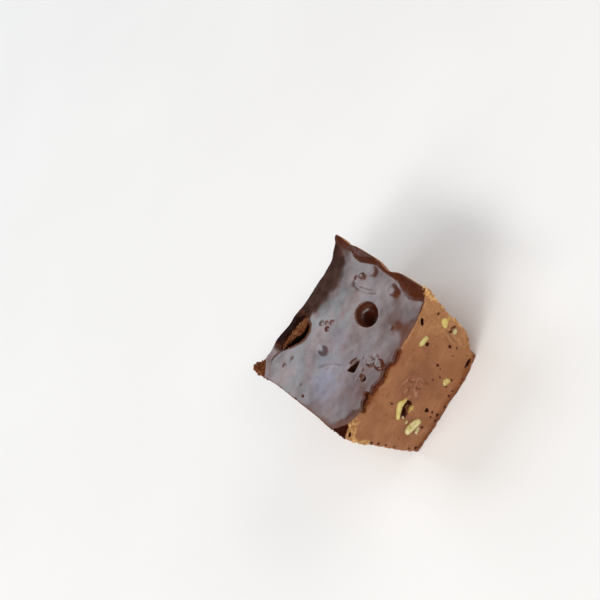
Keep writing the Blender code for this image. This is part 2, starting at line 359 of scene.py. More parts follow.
# Bubbles that stand up from the skin, and dimples: x, y, half lengths in x and y, height, the way in which
# the steep side faces, and how much of the bubble is flat toward that side
BUBBLES = (
    (16.1, 2.7, 1.9, 2.7, 0.23, (0.35, -0.94), 0.36), (14.0, 4.7, 1.05, 1.6, 0.24, (0.0, 1.0), 0.36),
    (12.9, 6.4, 0.9, 0.9, -0.16, (0.0, -1.0), 0.3), (15.0, -7.4, 2.0, 3.0, 0.36, (-0.5, -0.85), 0.2),
    (-5.7, 4.0, 1.6, 2.6, 0.34, (0.2, -1.0), 0.14), (-1.2, -12.5, 1.5, 2.1, 0.24, (-0.6, -0.8), 0.7),
    (-0.9, -15.3, 1.5, 2.2, 0.27, (0.2, -1.0), 0.66), (-1.0, -13.8, 0.6, 0.5, -0.13, (0.0, 1.0), 0.0),
    (0.3, -13.6, 0.8, 1.4, 0.1, (0.9, 0.4), 0.3), (-0.9, -17.3, 0.8, 0.8, 0.16, (0.0, -1.0), 0.3),
    (-1.8, -9.8, 0.5, 0.7, 0.07, (0.0, -1.0), 0.2), (-4.0, -11.6, 0.6, 1.0, 0.08, (0.0, -1.0), 0.2),
    (-6.6, -12.0, 0.4, 0.4, 0.07, (0.0, -1.0), 0.2), (-1.9, -6.0, 0.35, 0.4, -0.08, (0.0, 1.0), 0.0),
    (-0.6, 8.9, 0.95, 1.15, -0.2, (0.3, 1.0), 0.4), (0.1, 7.3, 0.8, 0.95, -0.2, (0.4, 1.0), 0.4),
    (0.9, 5.6, 0.9, 1.15, -0.22, (0.4, 1.0), 0.45), (-5.3, -12.3, 0.55, 0.75, 0.2, (0.0, 1.0), 0.3),
    (8.7, -16.4, 2.4, 2.2, 0.16, (-0.3, -1.0), 0.1), (7.6, -13.2, 0.7, 0.9, 0.16, (0.0, -1.0), 0.2),
    (9.0, -15.5, 0.6, 0.8, 0.1, (0.0, 1.0), 0.2), (11.7, 14.4, 1.4, 1.6, 0.14, (0.3, -0.9), 0.1),
    (18.8, 9.8, 0.4, 0.6, 0.15, (0.0, -1.0), 0.0), (17.9, 11.4, 0.6, 0.8, 0.15, (0.0, -1.0), 0.2),
    (7.0, 9.8, 1.0, 1.3, 0.06, (0.0, -1.0), 0.0), (-11.6, 12.1, 0.9, 0.7, -0.15, (0.0, 1.0), 0.1),
    (-14.0, 13.6, 0.85, 0.7, -0.18, (0.0, 1.0), 0.1),
)

# Bubbles that burst: x, y, half length in x, half length in y, depth, roundness of the lip, how far the
# bubble's middle is below the skin, and how dark the painted shade inside it is
CRATERS = (
    (7.1, -3.6, 2.78, 4.03, 3.3, 0.4, 0.6, 0.46), (-0.9, 6.2, 0.6, 0.8, 0.3, 0.2, 0.0, 0.32),
    (-5.5, -13.7, 0.62, 0.7, 0.45, 0.2, 0.0, 0.5), (-17.1, 1.5, 0.3, 0.45, 0.3, 0.1, 0.0, 0.5),
    (-18.9, 3.1, 0.4, 0.7, 0.5, 0.15, 0.0, 0.5), (-17.8, -18.0, 0.7, 0.28, 1.6, 0.1, 0.0, 0.5),
    (-15.3, 4.2, 0.22, 0.25, 0.2, 0.1, 0.0, 0.5),
)

# The three-sided hole where the skin broke: its corners as x and y, and its depth
THREE_SIDED = ((-6.1, -7.7), (-2.6, -9.7), (-5.6, -9.9))
THREE_SIDED_DEPTH = 2.4

# Holes in the cut side: x, z, radius and depth
PORES = (
    (15.7, 16.1, 0.2, 0.3), (10.39, 8.49, 0.26, 0.6), (10.76, 6.2, 0.17, 0.3), (8.77, 6.37, 0.17, 0.3),
    (5.29, 9.05, 0.24, 0.4), (4.85, 7.9, 0.15, 0.3), (3.1, 6.76, 0.18, 0.3), (1.87, 8.12, 0.15, 0.3),
    (1.87, 3.67, 0.22, 0.4), (-5.06, 5.04, 0.36, 0.8), (-4.92, 3.25, 0.2, 0.4), (-4.93, 1.51, 0.28, 0.5),
    (-7.2, 15.2, 0.16, 0.3), (8.35, 14.9, 0.3, 0.6), (-9.1, 3.5, 0.26, 0.4), (3.6, 3.3, 0.2, 0.3),
    (-17.3, 14.0, 0.24, 0.4), (-16.9, 12.0, 0.24, 0.4), (-16.4, 9.8, 0.2, 0.3), (-15.9, 7.2, 0.2, 0.3),
    (0.2, 1.5, 0.22, 0.4), (1.5, 1.3, 0.15, 0.3), (-1.9, 1.1, 0.2, 0.3), (-6.1, 2.9, 0.16, 0.3),
    (-6.4, 1.0, 0.24, 0.4), (-14.1, 1.5, 0.3, 0.5), (-15.0, 3.2, 0.18, 0.3),
)
LONG_PORE = ((11.95, 19.05), (12.75, 19.7))
LONG_PORE_RADIUS = 0.25

# A dry crumbly strip down the near edge of the cut side, as x and z
PALE_STRIP = (
    (-14.6, 21.2), (-16.3, 20.8), (-17.8, 19.9), (-18.8, 18.6), (-18.6, 17.0), (-18.0, 15.2),
)

# Notches in the upright edge of the near end: their depth, and the height and half width of each
NOTCH_DEPTH = 0.28
CORNER_NOTCHES = (
    (14.3, 0.45), (12.6, 0.35), (9.9, 0.5), (7.3, 0.3), (3.0, 0.5), (1.4, 0.6), (17.4, 0.35),
    (19.3, 0.5),
)

# The pitting past which a cut side has a pit
PIT_LEVEL = 0.74

# Walnut in the cut side: outlines as x and z, how far each bit stands out, and its paleness from yellow, 0,
# to white, 1
FRONT_WALNUTS = (
    (((14.8, 14.6), (15.5, 14.2), (15.6, 13.3), (16.4, 12.9), (16.3, 12.3), (15.6, 12.4), (14.9, 12.2),
      (14.0, 11.9), (13.3, 12.2), (13.5, 13.2), (14.0, 14.1)), 0.14, 0.0),
    (((9.9, 16.6), (10.1, 15.8), (9.7, 15.2), (9.0, 15.4), (8.2, 15.4), (7.4, 15.9), (7.1, 16.7),
      (7.6, 17.2), (8.4, 17.1), (9.2, 16.8)), 0.08, 0.35),
    (((1.9, 5.2), (2.8, 5.4), (3.6, 5.0), (3.8, 4.0), (3.5, 3.3), (2.7, 3.2), (1.9, 3.8),
      (1.6, 4.6)), 0.0, 0.2),
    (((-4.5, 12.4), (-4.8, 11.8), (-5.5, 11.8), (-6.5, 11.9), (-7.4, 11.7), (-8.5, 11.3), (-9.4, 10.8),
      (-10.1, 10.9), (-10.0, 11.7), (-9.1, 12.4), (-7.8, 13.2), (-6.7, 13.9), (-5.9, 13.8),
      (-5.4, 13.0)), 0.15, 0.1),
    (((-6.0, 9.9), (-5.3, 9.4), (-5.6, 8.8), (-6.4, 8.7), (-7.2, 9.0), (-7.4, 9.5),
      (-6.7, 9.8)), 0.05, -0.3),
    (((-9.4, 8.9), (-9.0, 8.4), (-9.6, 8.1), (-10.2, 8.3), (-10.0, 8.7)), 0.25, 0.9),
    (((-9.0, 10.4), (-8.6, 10.1), (-9.0, 9.6), (-9.4, 9.9)), 0.1, 0.8),
    (((-12.1, 7.0), (-11.5, 7.5), (-10.5, 7.6), (-9.3, 7.3), (-8.4, 6.7), (-7.7, 5.9), (-7.6, 5.1),
      (-8.0, 4.5), (-8.8, 4.5), (-9.8, 4.9), (-10.8, 5.2), (-11.7, 5.5), (-12.3, 6.1)), 0.16, 0.55),
    (((-9.6, 5.0), (-9.1, 4.7), (-9.6, 4.1), (-10.5, 3.9), (-11.2, 3.9), (-11.2, 4.5),
      (-10.5, 4.8)), 0.4, 1.0),
    (((14.0, 10.1), (14.7, 9.4), (14.1, 8.6), (13.2, 8.9), (13.1, 9.8)), 0.3, 1.0),
)

# Walnut in each hidden side, and the corners of a bit's outline
HIDDEN_PER_SIDE = 5
HIDDEN_CORNERS = 11


def hidden_outline(centre, long, short, turn, draw):
    """An uneven outline for a bit on a side that the photograph hides."""
    ring = []
    for step in range(HIDDEN_CORNERS):
        angle = step / HIDDEN_CORNERS * 2.0 * math.pi
        reach = 1.0 + draw.uniform(-0.26, 0.2)
        a = long * reach * math.cos(angle)
        b = short * reach * math.sin(angle)
        across = centre[0] + a * math.cos(turn) - b * math.sin(turn)
        ring.append((across, centre[1] + a * math.sin(turn) + b * math.cos(turn)))
    return tuple(ring)


def hidden_walnuts():
    """Bits in the three hidden sides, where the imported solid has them: side, outline, lift, paleness."""
    draw = random.Random(7)
    shape = random.Random(19)
    bits = []
    for side in ("back", "far", "near"):
        for number in range(HIDDEN_PER_SIDE):
            across = ((number + 0.5) / HIDDEN_PER_SIDE * 2.0 - 1.0) * 14.5 + draw.uniform(-1.5, 1.5)
            z = draw.uniform(4.0, 16.0)
            long = draw.uniform(1.3, 2.5)
            short = draw.uniform(0.9, 1.5)
            turn = math.radians(draw.uniform(0.0, 180.0))
            outline = hidden_outline((across, z), long, short, turn, shape)
            bits.append((side, outline, shape.uniform(0.0, 0.25), shape.uniform(0.0, 0.7)))
    return tuple(bits)


HIDDEN_WALNUTS = hidden_walnuts()

# The hollow in the bent bit, and the one beside the shard, as x and z
WALNUT_HOLLOW = (
    (-4.9, 11.5), (-4.8, 10.5), (-5.5, 9.9), (-6.5, 9.6), (-7.3, 9.6), (-8.0, 9.6), (-9.0, 9.5),
    (-9.3, 10.1), (-9.0, 10.7), (-8.3, 11.1), (-7.5, 11.3), (-6.6, 11.6), (-5.8, 11.7),
)
SHARD_HOLLOW = ((13.3, 10.5), (14.0, 10.4), (14.7, 9.8))
SHARD_HOLLOW_RADIUS = 0.22

# The gash low at the far end, as x and z
GASH = (
    (7.0, 1.6), (8.1, 2.05), (8.9, 2.4), (9.9, 2.0), (10.8, 1.4), (9.9, 1.0), (9.25, 0.6), (8.7, 0.8),
    (8.0, 1.0),
)

# The broken corner of the base: where its slope starts as x and z, the rise of the slope, its inner end in
# Y and how that end leans, and the Y from which its inner wall slants
BREAK_AT = (11.5, 1.9)
BREAK_SLOPE = 0.95
BREAK_INNER = -12.4
BREAK_LEAN = 0.9
BREAK_WALL_FROM = -16.4
BREAK_WALL_SLANT = 0.5

# Drag lines of the knife and wrinkles in the cut side: points as x and z, height and half width
DRAGS = (
    (((14.6, 12.2), (13.6, 10.6), (12.6, 8.4), (12.0, 6.0), (11.8, 4.0)), 0.2, 0.28),
    (((14.0, 12.6), (12.9, 10.6), (12.0, 8.2), (11.4, 5.8)), -0.18, 0.24),
    (((13.3, 13.0), (12.3, 11.0), (11.4, 8.6), (10.9, 6.2)), 0.18, 0.24),
    (((12.4, 12.9), (11.5, 10.6), (10.7, 8.2)), -0.14, 0.24),
    (((15.1, 10.9), (14.2, 8.8), (13.3, 6.8), (12.9, 5.2)), -0.16, 0.24),
    (((-2.3, 15.8), (-1.3, 15.2), (-0.4, 14.9)), 0.3, 0.24),
    (((-3.3, 16.0), (-2.6, 15.5), (-1.8, 15.6)), 0.2, 0.22),
    (((-0.6, 14.6), (-0.9, 13.6), (-0.4, 12.6)), -0.3, 0.22),
    (((1.4, 12.9), (0.6, 12.3), (0.9, 11.4), (0.2, 10.6)), 0.28, 0.22),
    (((2.2, 14.6), (2.9, 13.9), (3.6, 14.1)), 0.22, 0.22),
    (((-1.0, 12.0), (-1.6, 11.2), (-1.3, 10.2), (-2.0, 9.4)), -0.34, 0.22),
    (((-2.8, 12.8), (-2.1, 11.9), (-2.6, 10.9), (-3.4, 10.2)), 0.28, 0.24),
    (((0.1, 11.4), (-0.5, 10.4), (-0.2, 9.4)), 0.24, 0.22),
    (((0.9, 10.2), (0.3, 9.2), (0.6, 8.2)), -0.24, 0.22),
    (((-4.0, 14.1), (-3.2, 13.6), (-2.2, 13.7)), 0.26, 0.26),
    (((-4.9, 12.2), (-3.9, 12.0), (-3.3, 11.4)), 0.3, 0.22),
    (((4.6, 17.0), (3.8, 16.2), (3.9, 15.2)), -0.16, 0.26),
    (((-12.5, 6.0), (-10.9, 3.2), (-9.3, 2.2), (-7.4, 2.2)), 0.2, 0.3),
    (((-8.0, 17.6), (-6.4, 16.2), (-5.0, 15.6)), 0.14, 0.3),
    (((6.0, 12.5), (5.0, 11.0), (4.8, 9.6)), 0.14, 0.3),
)

# Height of a line whose painted highlight or painted shade shows at its full strength
STREAK_HEIGHT = 0.25

# Where fine wrinkles lie close together on the cut side: their middle as x and z, and how far they reach
WRINKLES_AT = (-0.8, 12.0)
WRINKLES_HALF = (5.2, 5.0)


# The height of the top

def line_relief(x, y):
    """Creases, folds and bubbles of the skin, as a change of height."""
    relief = 0.0
    for points, height, width, ends in SKIN_LINES:
        gap, along = path_distance(x, y, points)
        relief = relief + height * bell(gap, width) * faded(along, ends)
    gap, along = path_distance(x, y, STRAIN_CRACK)
    relief = relief - STRAIN_DEPTH * bell(gap, STRAIN_WIDTH) * before(along, 1.0, 0.5)
    for bx, by, half_x, half_y, height, (way_x, way_y), sharp in BUBBLES:
        dx, dy = (x - bx) / half_x, (y - by) / half_y
        out = np.hypot(dx, dy)
        toward = (dx * way_x + dy * way_y) / np.maximum(out, 1e-6)
        flat = sharp * smooth(0.5 + 0.6 * toward)
        relief = relief + height * (1.0 - after(out, flat, 1.0 - flat))
    return relief


def skin_edge(x, y):
    """Distance beyond the edge of the skin toward the cut side."""
    ragged = 0.14 * flat_wobble(x, y * 0.4, 0.9, 11) + 0.08 * flat_wobble(x, y * 0.6, 0.4, 12)
    return follow(x, SKIN_EDGE) + ragged * before(x, 7.0, 3.0) - y


def burr_edge(x, y):
    """Distance beyond the skin into the crumbly burr of the back near corner."""
    return ((-x - 15.1) * 0.62 + (y - 20.6) * 0.79) + 0.2 * flat_wobble(x, y, 0.9, 23)


def torn_share(x, far):
    """How much of the cut side's skin is torn off at an x, up to where the tear ends."""
    return before(x, far, 1.2) * after(x, TORN_NEAR, 0.8)


def skin_height(x, y):
    """Height of the top with all that is drawn on it, and how bare of skin each place is."""
    beyond = skin_edge(x, y)
    burr = burr_edge(x, y)
    torn = torn_share(x, 5.6)
    corner = before(x, -16.0, 0.8)
    face = outline_distance(x, y, FLAKE_FACE) + 0.12 * flat_wobble(x, y, 0.7, 21)
    bare = largest(smooth(beyond / SKIN_END), smooth(-face / SKIN_END), smooth(burr / SKIN_END))

    # The skin rolls down before it ends, most where the square's near corner was pulled away
    far_roll = after(x, 4.5, 3.0) * before(x, 13.0, 2.0)
    roll_width = 0.5 + 2.2 * before(x, -11.0, 2.0) + 1.8 * far_roll
    roll_depth = 0.02 + 0.18 * before(x, -11.0, 2.0) + 0.14 * far_roll
    roll = -roll_depth * smooth((beyond + roll_width) / roll_width) ** 1.5
    ripple = 0.09 * flat_wobble(x, y, 5.5, 31) + 0.035 * flat_wobble(x, y, 2.4, 32)
    ripple = ripple + 0.007 * flat_wobble(x, y, 1.1, 33)
    skin = line_relief(x, y) + ripple

    # Past the edge there is a step down to the crumb, and the crumb slopes to the cut
    step = -(0.5 * torn + 0.4 * corner + 0.05) * smooth(beyond / 0.2)
    step = step - (0.22 * torn + 0.12) * np.maximum(beyond, 0.0)

    # The flake behind the gap is lifted, and shows a broken face toward the gap
    behind = y - follow(x, GAP_MIDDLE)
    flake = after(behind, -0.1, 0.9) * before(x, 0.6, 2.6) * after(x, -12.6, 3.0)
    lifted = FLAKE_RISE * flake - 0.27 * flake * np.maximum(behind - 2.6, 0.0)
    burred = BURR_UP * smooth(burr / 2.2) - 0.25 * smooth(burr / 0.2)
    burred = burred + 0.5 * smooth(burr / 0.6) * rough(x, y, 0.0 * x, 1.0, 42)
    height = top_height(x, y) + skin * (1.0 - 0.85 * bare) + roll + step + lifted + burred
    return height, bare


# The block's form

def ellipsoid(x, y, z, centre, radii):
    """Near enough the distance to an ellipsoid."""
    a = np.sqrt(sum(((p - c) / r) ** 2 for p, c, r in zip((x, y, z), centre, radii)))
    b = np.sqrt(sum(((p - c) / r**2) ** 2 for p, c, r in zip((x, y, z), centre, radii)))
    return a * (a - 1.0) / np.maximum(b, 1e-6)


def plain_block(x, y, z):
    """The block with plain sides, for finding where its skin is."""
    c = np.clip(z / HEIGHT, 0.0, 1.0)
    sides = largest(front_side(x, c) - y, y - back_side(x, c), x - far_end(y, c), near_end(y, c) - x)
    return largest(sides, z - top_height(x, y), -z)


class Carving:
    """The block's form at some points, changed one feature at a time near where the feature is."""

    def __init__(self, x, y, z, form):
        self.x, self.y, self.z, self.form = x, y, z, form
        self.painted_shade = np.zeros(len(x))
        self.streak = np.zeros(len(x))

    def near(self, low, high):
        """Pick the points in a box, for the next feature."""
        inside = np.ones(len(self.x), bool)
        for value, a, b in zip((self.x, self.y, self.z), low, high):
            inside &= (value > a) & (value < b)
        self.picked = np.nonzero(inside)[0]
        return self.x[self.picked], self.y[self.picked], self.z[self.picked]

    def take(self, cutter, lip, dark=0.0):
        """Cut the picked points by a form, with a rounded lip, and keep how dark the painted shade in the
        hollow is.
        """
        self.form[self.picked] = round_max(self.form[self.picked], -cutter, lip)
        if np.any(dark):
            deep = dark * before(cutter, 0.16, 0.16)
            self.painted_shade[self.picked] = np.maximum(self.painted_shade[self.picked], deep)

    def shift(self, change):
        self.form[self.picked] += change

    def draw(self, height):
        """Raise a line, or sink it, and keep its height, for a painted highlight on raised lines and painted
        shade on sunk ones.
        """
        self.form[self.picked] -= height
        self.streak[self.picked] += height / STREAK_HEIGHT


def pitting(x, y, z):
    """A wobble whose peaks are the small pits of the cut sides."""
    return wobble(x, y, z, 0.75, 59)


def wrinkle_zone(x, z):
    """How strongly the cut side is wrinkled at a place."""
    out = np.hypot((x - WRINKLES_AT[0]) / WRINKLES_HALF[0], (z - WRINKLES_AT[1]) / WRINKLES_HALF[1])
    return bell(out, 1.0)


def upright_sides(x, y, z, c):
    """The four cut sides, with the drag of the knife and a grain that is finer than the skin's."""
    low_edge = before(z, 2.3, 1.7)
    grain = 0.03 * rough(x, y, z, 0.7, 51)
    drag = 0.07 * wobble(x * 0.4, y * 0.4, z, 2.2, 52)
    crumble = low_edge * (0.14 * rough(x, y, z, 0.9, 55) + 0.22 * wobble(x, y, z, 2.6, 56))
    pits = 0.3 * after(pitting(x, y, z), PIT_LEVEL, 0.16)
    cut = grain + drag + crumble + pits
    front = front_side(x, c) - y + cut
    back = y - back_side(x, c) + cut
    far = (x - far_end(y, c)) * FAR_LEAN + 0.6 * cut
    near = (near_end(y, c) - x) * NEAR_LEAN + cut
    notch = sum(bell(z - height, half) for height, half in CORNER_NOTCHES)
    near = near + NOTCH_DEPTH * notch * before(y, -17.2, 1.2)
    far_corner = 0.3 + 0.45 * wobble(x, y, z, 1.3, 57) + 0.25 * wobble(x, y, z, 0.5, 58)
    upright = round_max(round_max(far, front, 0.7), round_max(near, back, 0.6), 0.6)
    upright = round_max(upright, round_max(near, front, 0.6), 0.3)
    ragged = bell(far, 0.7) * bell(front, 0.7) * after(z, 4.0, 2.0) * before(z, 17.0, 2.0)
    return upright + far_corner * ragged, front, low_edge


def inward(b, start, slope):
    """How much a hollow narrows on its way in from the cut side, at Y of b."""
    return np.maximum(b - start, 0.0) * slope


def carve_craters(work):
    """The bubbles that burst, with painted shade inside that gets darker deeper down."""
    for bx, by, half_x, half_y, depth, lip, below, inner_shade in CRATERS:
        level = float(top_height(bx, by))
        low = (bx - half_x - 1.0, by - half_y - 1.0, level - depth - 1.0)
        a, b, h = work.near(low, (bx + half_x + 1.0, by + half_y + 1.0, BEYOND))
        inner = ellipsoid(a, b, h, (bx, by, level - below), (half_x, half_y, depth - below))
        mouth = (np.hypot((a - bx) / half_x, (b - by) / half_y) - 0.96) * half_x
        gap = np.where(h > level - below, np.minimum(mouth, inner), inner)
        deep = smooth((level - h - 0.35 * depth) / (0.4 * depth))
        work.take(gap, lip, inner_shade * (0.62 + 0.38 * deep))


def carve_skin(work):
    """The gap beside the flake, and the three-sided hole, both with painted shade inside."""
    a, b, h = work.near((-12.5, 11.0, HEIGHT - GAP_DEPTH - 1.0), (-1.5, 18.5, BEYOND))
    gap = outline_distance(a, b, GAP) + 0.12 * wobble(a, b, h, 0.8, 61) + 0.12 * np.maximum(HEIGHT - h, 0.0)
    work.take(np.maximum(gap, HEIGHT - GAP_DEPTH - h), 0.1, smooth((HEIGHT + 0.15 - h) / 0.35))
    a, b, h = work.near((-7.5, -11.5, HEIGHT - THREE_SIDED_DEPTH - 1.0), (-1.0, -6.5, BEYOND))
    gap = outline_distance(a, b, THREE_SIDED) + 0.35 * np.maximum(HEIGHT - h, 0.0)
    work.take(np.maximum(gap, HEIGHT - THREE_SIDED_DEPTH - h), 0.05, 0.85)


def carve_pores(work):
    """Pores of the cut side, with painted shade inside: a larger one gets darker shade."""
    for px, pz, radius, depth in PORES:
        surface = float(front_side(px, pz / HEIGHT))
        a, b, h = work.near((px - 1.5, surface - 1.5, pz - 1.5), (px + 1.5, surface + 2.0, pz + 1.5))
        hole = ellipsoid(a, b, h, (px, surface, pz), (radius, depth, radius * 1.2))
        work.take(hole + 0.14 * wobble(a, b, h, 0.35, 66), 0.06, min(0.1 + 1.45 * radius, 0.8))
    a, b, h = work.near((10.5, -21.0, 17.5), (14.5, -17.0, 21.5))
    gap, _ = path_distance(a, h, LONG_PORE)
    work.take(np.hypot(gap, inward(b, -19.2, 0.25)) - LONG_PORE_RADIUS, 0.06, 0.9)


def carve_cut_side(work):
    """The hollow in the bent walnut bit, the one beside the shard, and the gash: each narrows inward and
    gets painted shade inside.
    """
    a, b, h = work.near((-11.0, -21.0, 8.0), (-3.5, -16.5, 13.0))
    gap = outline_distance(a, h, WALNUT_HOLLOW) + 0.12 * wobble(a, b, h, 0.7, 62)
    work.take(gap + inward(b, -19.4, 0.35), 0.1, 0.42 + 0.25 * wobble(a, b, h, 0.6, 67))
    a, b, h = work.near((12.0, -21.0, 8.5), (16.0, -17.0, 12.0))
    gap, _ = path_distance(a, h, SHARD_HOLLOW)
    work.take(np.hypot(gap, inward(b, -19.1, 0.4)) - SHARD_HOLLOW_RADIUS, 0.1, 0.5)
    a, b, h = work.near((5.5, -21.0, -1.0), (12.0, -17.0, 3.5))
    gap = outline_distance(a, h, GASH) + 0.3 * wobble(a, b, h, 0.6, 64)
    work.take(gap + 0.4 + inward(b, -19.3, 0.4), 0.1, 0.62)


def break_corner(work):
    """The corner of the base that broke off: a slope, a slanted inner wall and a leaning end."""
    a, b, h = work.near((10.0, -22.0, -1.0), (17.0, -8.0, 7.5))
    wall = (a - BREAK_AT[0] - 0.1 - inward(b, BREAK_WALL_FROM, BREAK_WALL_SLANT)) / 1.05
    away = np.minimum((BREAK_AT[1] + (a - BREAK_AT[0]) * BREAK_SLOPE - h) / 1.38, wall)
    away = np.minimum(away, (BREAK_INNER - b - BREAK_LEAN * h) / 1.35)
    work.take(-away - 0.28 * rough(a, b, h, 1.5, 63), 0.4)


def draw_cut_side(work):
    """Drag lines of the knife one by one, and the fine wrinkles where a wobble passes zero."""
    for points, height, width in DRAGS:
        (low_x, low_z), (high_x, high_z) = reach_of(points, 1.2)
        a, b, h = work.near((low_x, CUT_SLAB[0], low_z), (high_x, CUT_SLAB[1], high_z))
        gap, along = path_distance(a + 0.15 * wobble(a, b, h, 1.2, 65), h, points)
        work.draw(height * bell(gap, width) * faded(along))
    a, b, h = work.near((-8.0, CUT_SLAB[0], 4.0), (6.5, CUT_SLAB[1], 19.0))
    line = 1.0 - smooth(np.abs(wobble(a + 0.5 * h, b, h - 0.3 * a, 1.6, 60)) / 0.34)
    work.draw(0.22 * wrinkle_zone(a, h) * line * np.clip(wobble(a, b, h, 2.4, 68) * 4.0, -1.0, 1.0))


def socket_walnuts(work):
    """A narrow furrow round each bit of walnut, and room for the bit inside it."""
    for points, _, _ in FRONT_WALNUTS:
        (low_x, low_z), (high_x, high_z) = reach_of(points, 1.0)
        a, b, h = work.near((low_x, CUT_SLAB[0], low_z), (high_x, CUT_SLAB[1], high_z))
        gap = outline_distance(a, h, points)
        work.shift(0.14 * bell(gap - 0.05, 0.16) + 0.6 * smooth(-(gap + 0.3) / 0.3))
    for side, points, _, _ in HIDDEN_WALNUTS:
        low, high = reach_of(points, 1.0)
        if side == "back":
            a, b, h = work.near((low[0], 17.0, low[1]), (high[0], 24.0, high[1]))
            gap = outline_distance(a, h, points)
        else:
            ends = (13.0, 21.0) if side == "far" else (-21.0, -13.0)
            a, b, h = work.near((ends[0], low[0], low[1]), (ends[1], high[0], high[1]))
            gap = outline_distance(b, h, points)
        work.shift(0.16 * bell(gap - 0.08, 0.18) + 0.6 * smooth(-(gap + 0.3) / 0.3))


def block_form(x, y, z, parts=False):
    """The block's form: negative inside. With parts, also what the materials need to know of each place."""
    c = np.clip(z / HEIGHT, 0.0, 1.0)
    height, bare = skin_height(x, y)
    height = height + bare * (0.08 + 0.14 * after(y, 10.0, 2.0)) * rough(x, y, z, 0.8, 41)
    upright, front, low_edge = upright_sides(x, y, z, c)
    in_burr = smooth((burr_edge(x, y) + 0.2) / 0.6) * after(z, 18.0, 2.0)
    upright = upright + in_burr * 0.34 * rough(x, y, z, 1.0, 43)
    lid = (z - height) * TOP_LEAN
    form = round_max(upright, lid, 0.35)
    form = round_max(form, -z, 0.3)
    work = Carving(x, y, z, form)
    for feature in (
        carve_craters,
        carve_skin,
        carve_pores,
        carve_cut_side,
        break_corner,
        draw_cut_side,
        socket_walnuts,
    ):
        feature(work)
    if not parts:
        return work.form
    marks = block_marks(x, y, z, c, lid, upright, front, bare, low_edge, work.painted_shade)
    marks["streak"] = work.streak
    return work.form, marks


# What the materials need to know

def pitted(x, y, z, low_edge, on_side, painted_shade):
    """Painted shade in the hollows, and in the small pits of the hidden sides and of the foot."""
    pit = pitting(x, y, z)
    painted_shade = np.maximum(painted_shade, 0.5 * after(pit, PIT_LEVEL, 0.1) * after(y, -17.0, 0.5) * on_side)
    at_foot = after(low_edge, 0.3, 0.3)
    return np.maximum(painted_shade, 0.4 * after(pit, 0.5, 0.15) * at_foot * on_side)


def torn_marks(x, y, z, bare, beyond, blotch, past, painted_shade):
    """How dark, how deep in painted shade and how crumbly the places are where the fudge tore or broke."""
    past_skin = after(beyond, -0.08, 0.12)

    # Under the ragged edge the crumb is dark red-brown, with a painted shadow line darkest in the first half
    # millimetre
    torn = torn_share(x, 5.2)
    band_width = follow(x, SKIN_EDGE) - TORN_OUTER - 0.5 * before(x, -9.0, 2.4)
    band_width = np.maximum(band_width, 1.0) + 0.14 * wobble(x, y, z, 0.9, 71)
    band_end = before(beyond, band_width, 0.28)
    line = smooth((0.3 + 0.3 * bell(x + 8.8, 1.1) + 0.15 * wobble(x, y, z, 1.1, 78) - beyond) / 0.2)
    top_part = after(z, 19.6, 0.6)
    dark = torn * past_skin * band_end * (0.7 + 0.3 * line) * top_part
    painted_shade = np.maximum(painted_shade, 0.5 * torn * line * after(beyond, 0.02, 0.12) * top_part)

    # The near corner, where the skin was pulled away
    uneven = 0.25 * wobble(x, y, z, 0.9, 77)
    corner = smooth((y + 16.75 - 0.2 * (x + 16.5) + uneven) / 0.25) * before(x, -15.8, 0.5)
    corner = corner * past_skin * after(z, 19.3, 0.4)
    dark = np.maximum(dark, 1.5 * corner * before(y, -10.0, 2.0))

    # The broken face of the flake, darker toward its back with painted shade, and the burr
    behind = after(y, 11.0, 1.0) * bare * after(z, 18.5, 1.5)
    burr_share = before(x, -13.0, 1.0)
    flake_dark = 0.25 + 0.4 * np.maximum(past, after(x, -3.4, 1.4)) + 0.45 * blotch
    burr_dark = 0.4 + 0.55 * wobble(x, y, z, 0.8, 76)
    dark = np.maximum(dark, behind * np.clip(flake_dark + (burr_dark - flake_dark) * burr_share, 0.0, 1.5))
    painted_shade = np.maximum(painted_shade, 0.85 * behind * past * (1.0 - burr_share))
    crumbly = largest(torn * past_skin * band_end * top_part, behind, corner)
    return dark, painted_shade, crumbly


def pale_marks(x, y, z, c, front, beyond, rim_painted_highlight, dark, crumbly):
    """Pale edges: dry crumb along the far upright edge, with a painted highlight there, above the cut and on
    the near corner; and a painted highlight along the far end's top edge.
    """
    fringe_with_painted_highlight = bell(x - far_end(y, c), 0.6) * bell(front, 0.8) * after(z, 4.0, 2.0)
    chamfer = after(z, 19.9, 0.8) * before(y, -17.6, 0.8) * after(x, 5.0, 2.0)
    chamfer = chamfer * (1.0 - smooth(-beyond / 0.4))
    gap, _ = path_distance(x, z, PALE_STRIP)
    near_edge = 0.85 * bell(gap, 0.85 + 0.3 * wobble(x, y, z, 1.0, 75))
    near_edge = near_edge * before(y, -16.0, 1.5) * (1.0 - dark)
    pale = largest(fringe_with_painted_highlight, 0.34 * chamfer, near_edge)
    crumbly = largest(crumbly, after(near_edge, 0.35, 0.3), after(fringe_with_painted_highlight, 0.55, 0.3))
    top_corner = bell(x - 18.9, 1.3) * bell(y + 18.6, 1.3) * after(z, 18.6, 1.0)
    crumbly = np.maximum(crumbly, after(top_corner, 0.25, 0.3))
    pale = np.maximum(pale, 1.25 * after(top_corner, 0.15, 0.4))
    # The painted highlight along the far end's top edge
    pale = np.maximum(pale, (0.42 + 0.4 * before(y, -6.0, 8.0)) * rim_painted_highlight * before(y, 20.5, 2.0))
    pale = np.maximum(pale, 0.3 * after(x, 5.0, 9.0) * before(y, -17.0, 1.0))
    return pale, crumbly


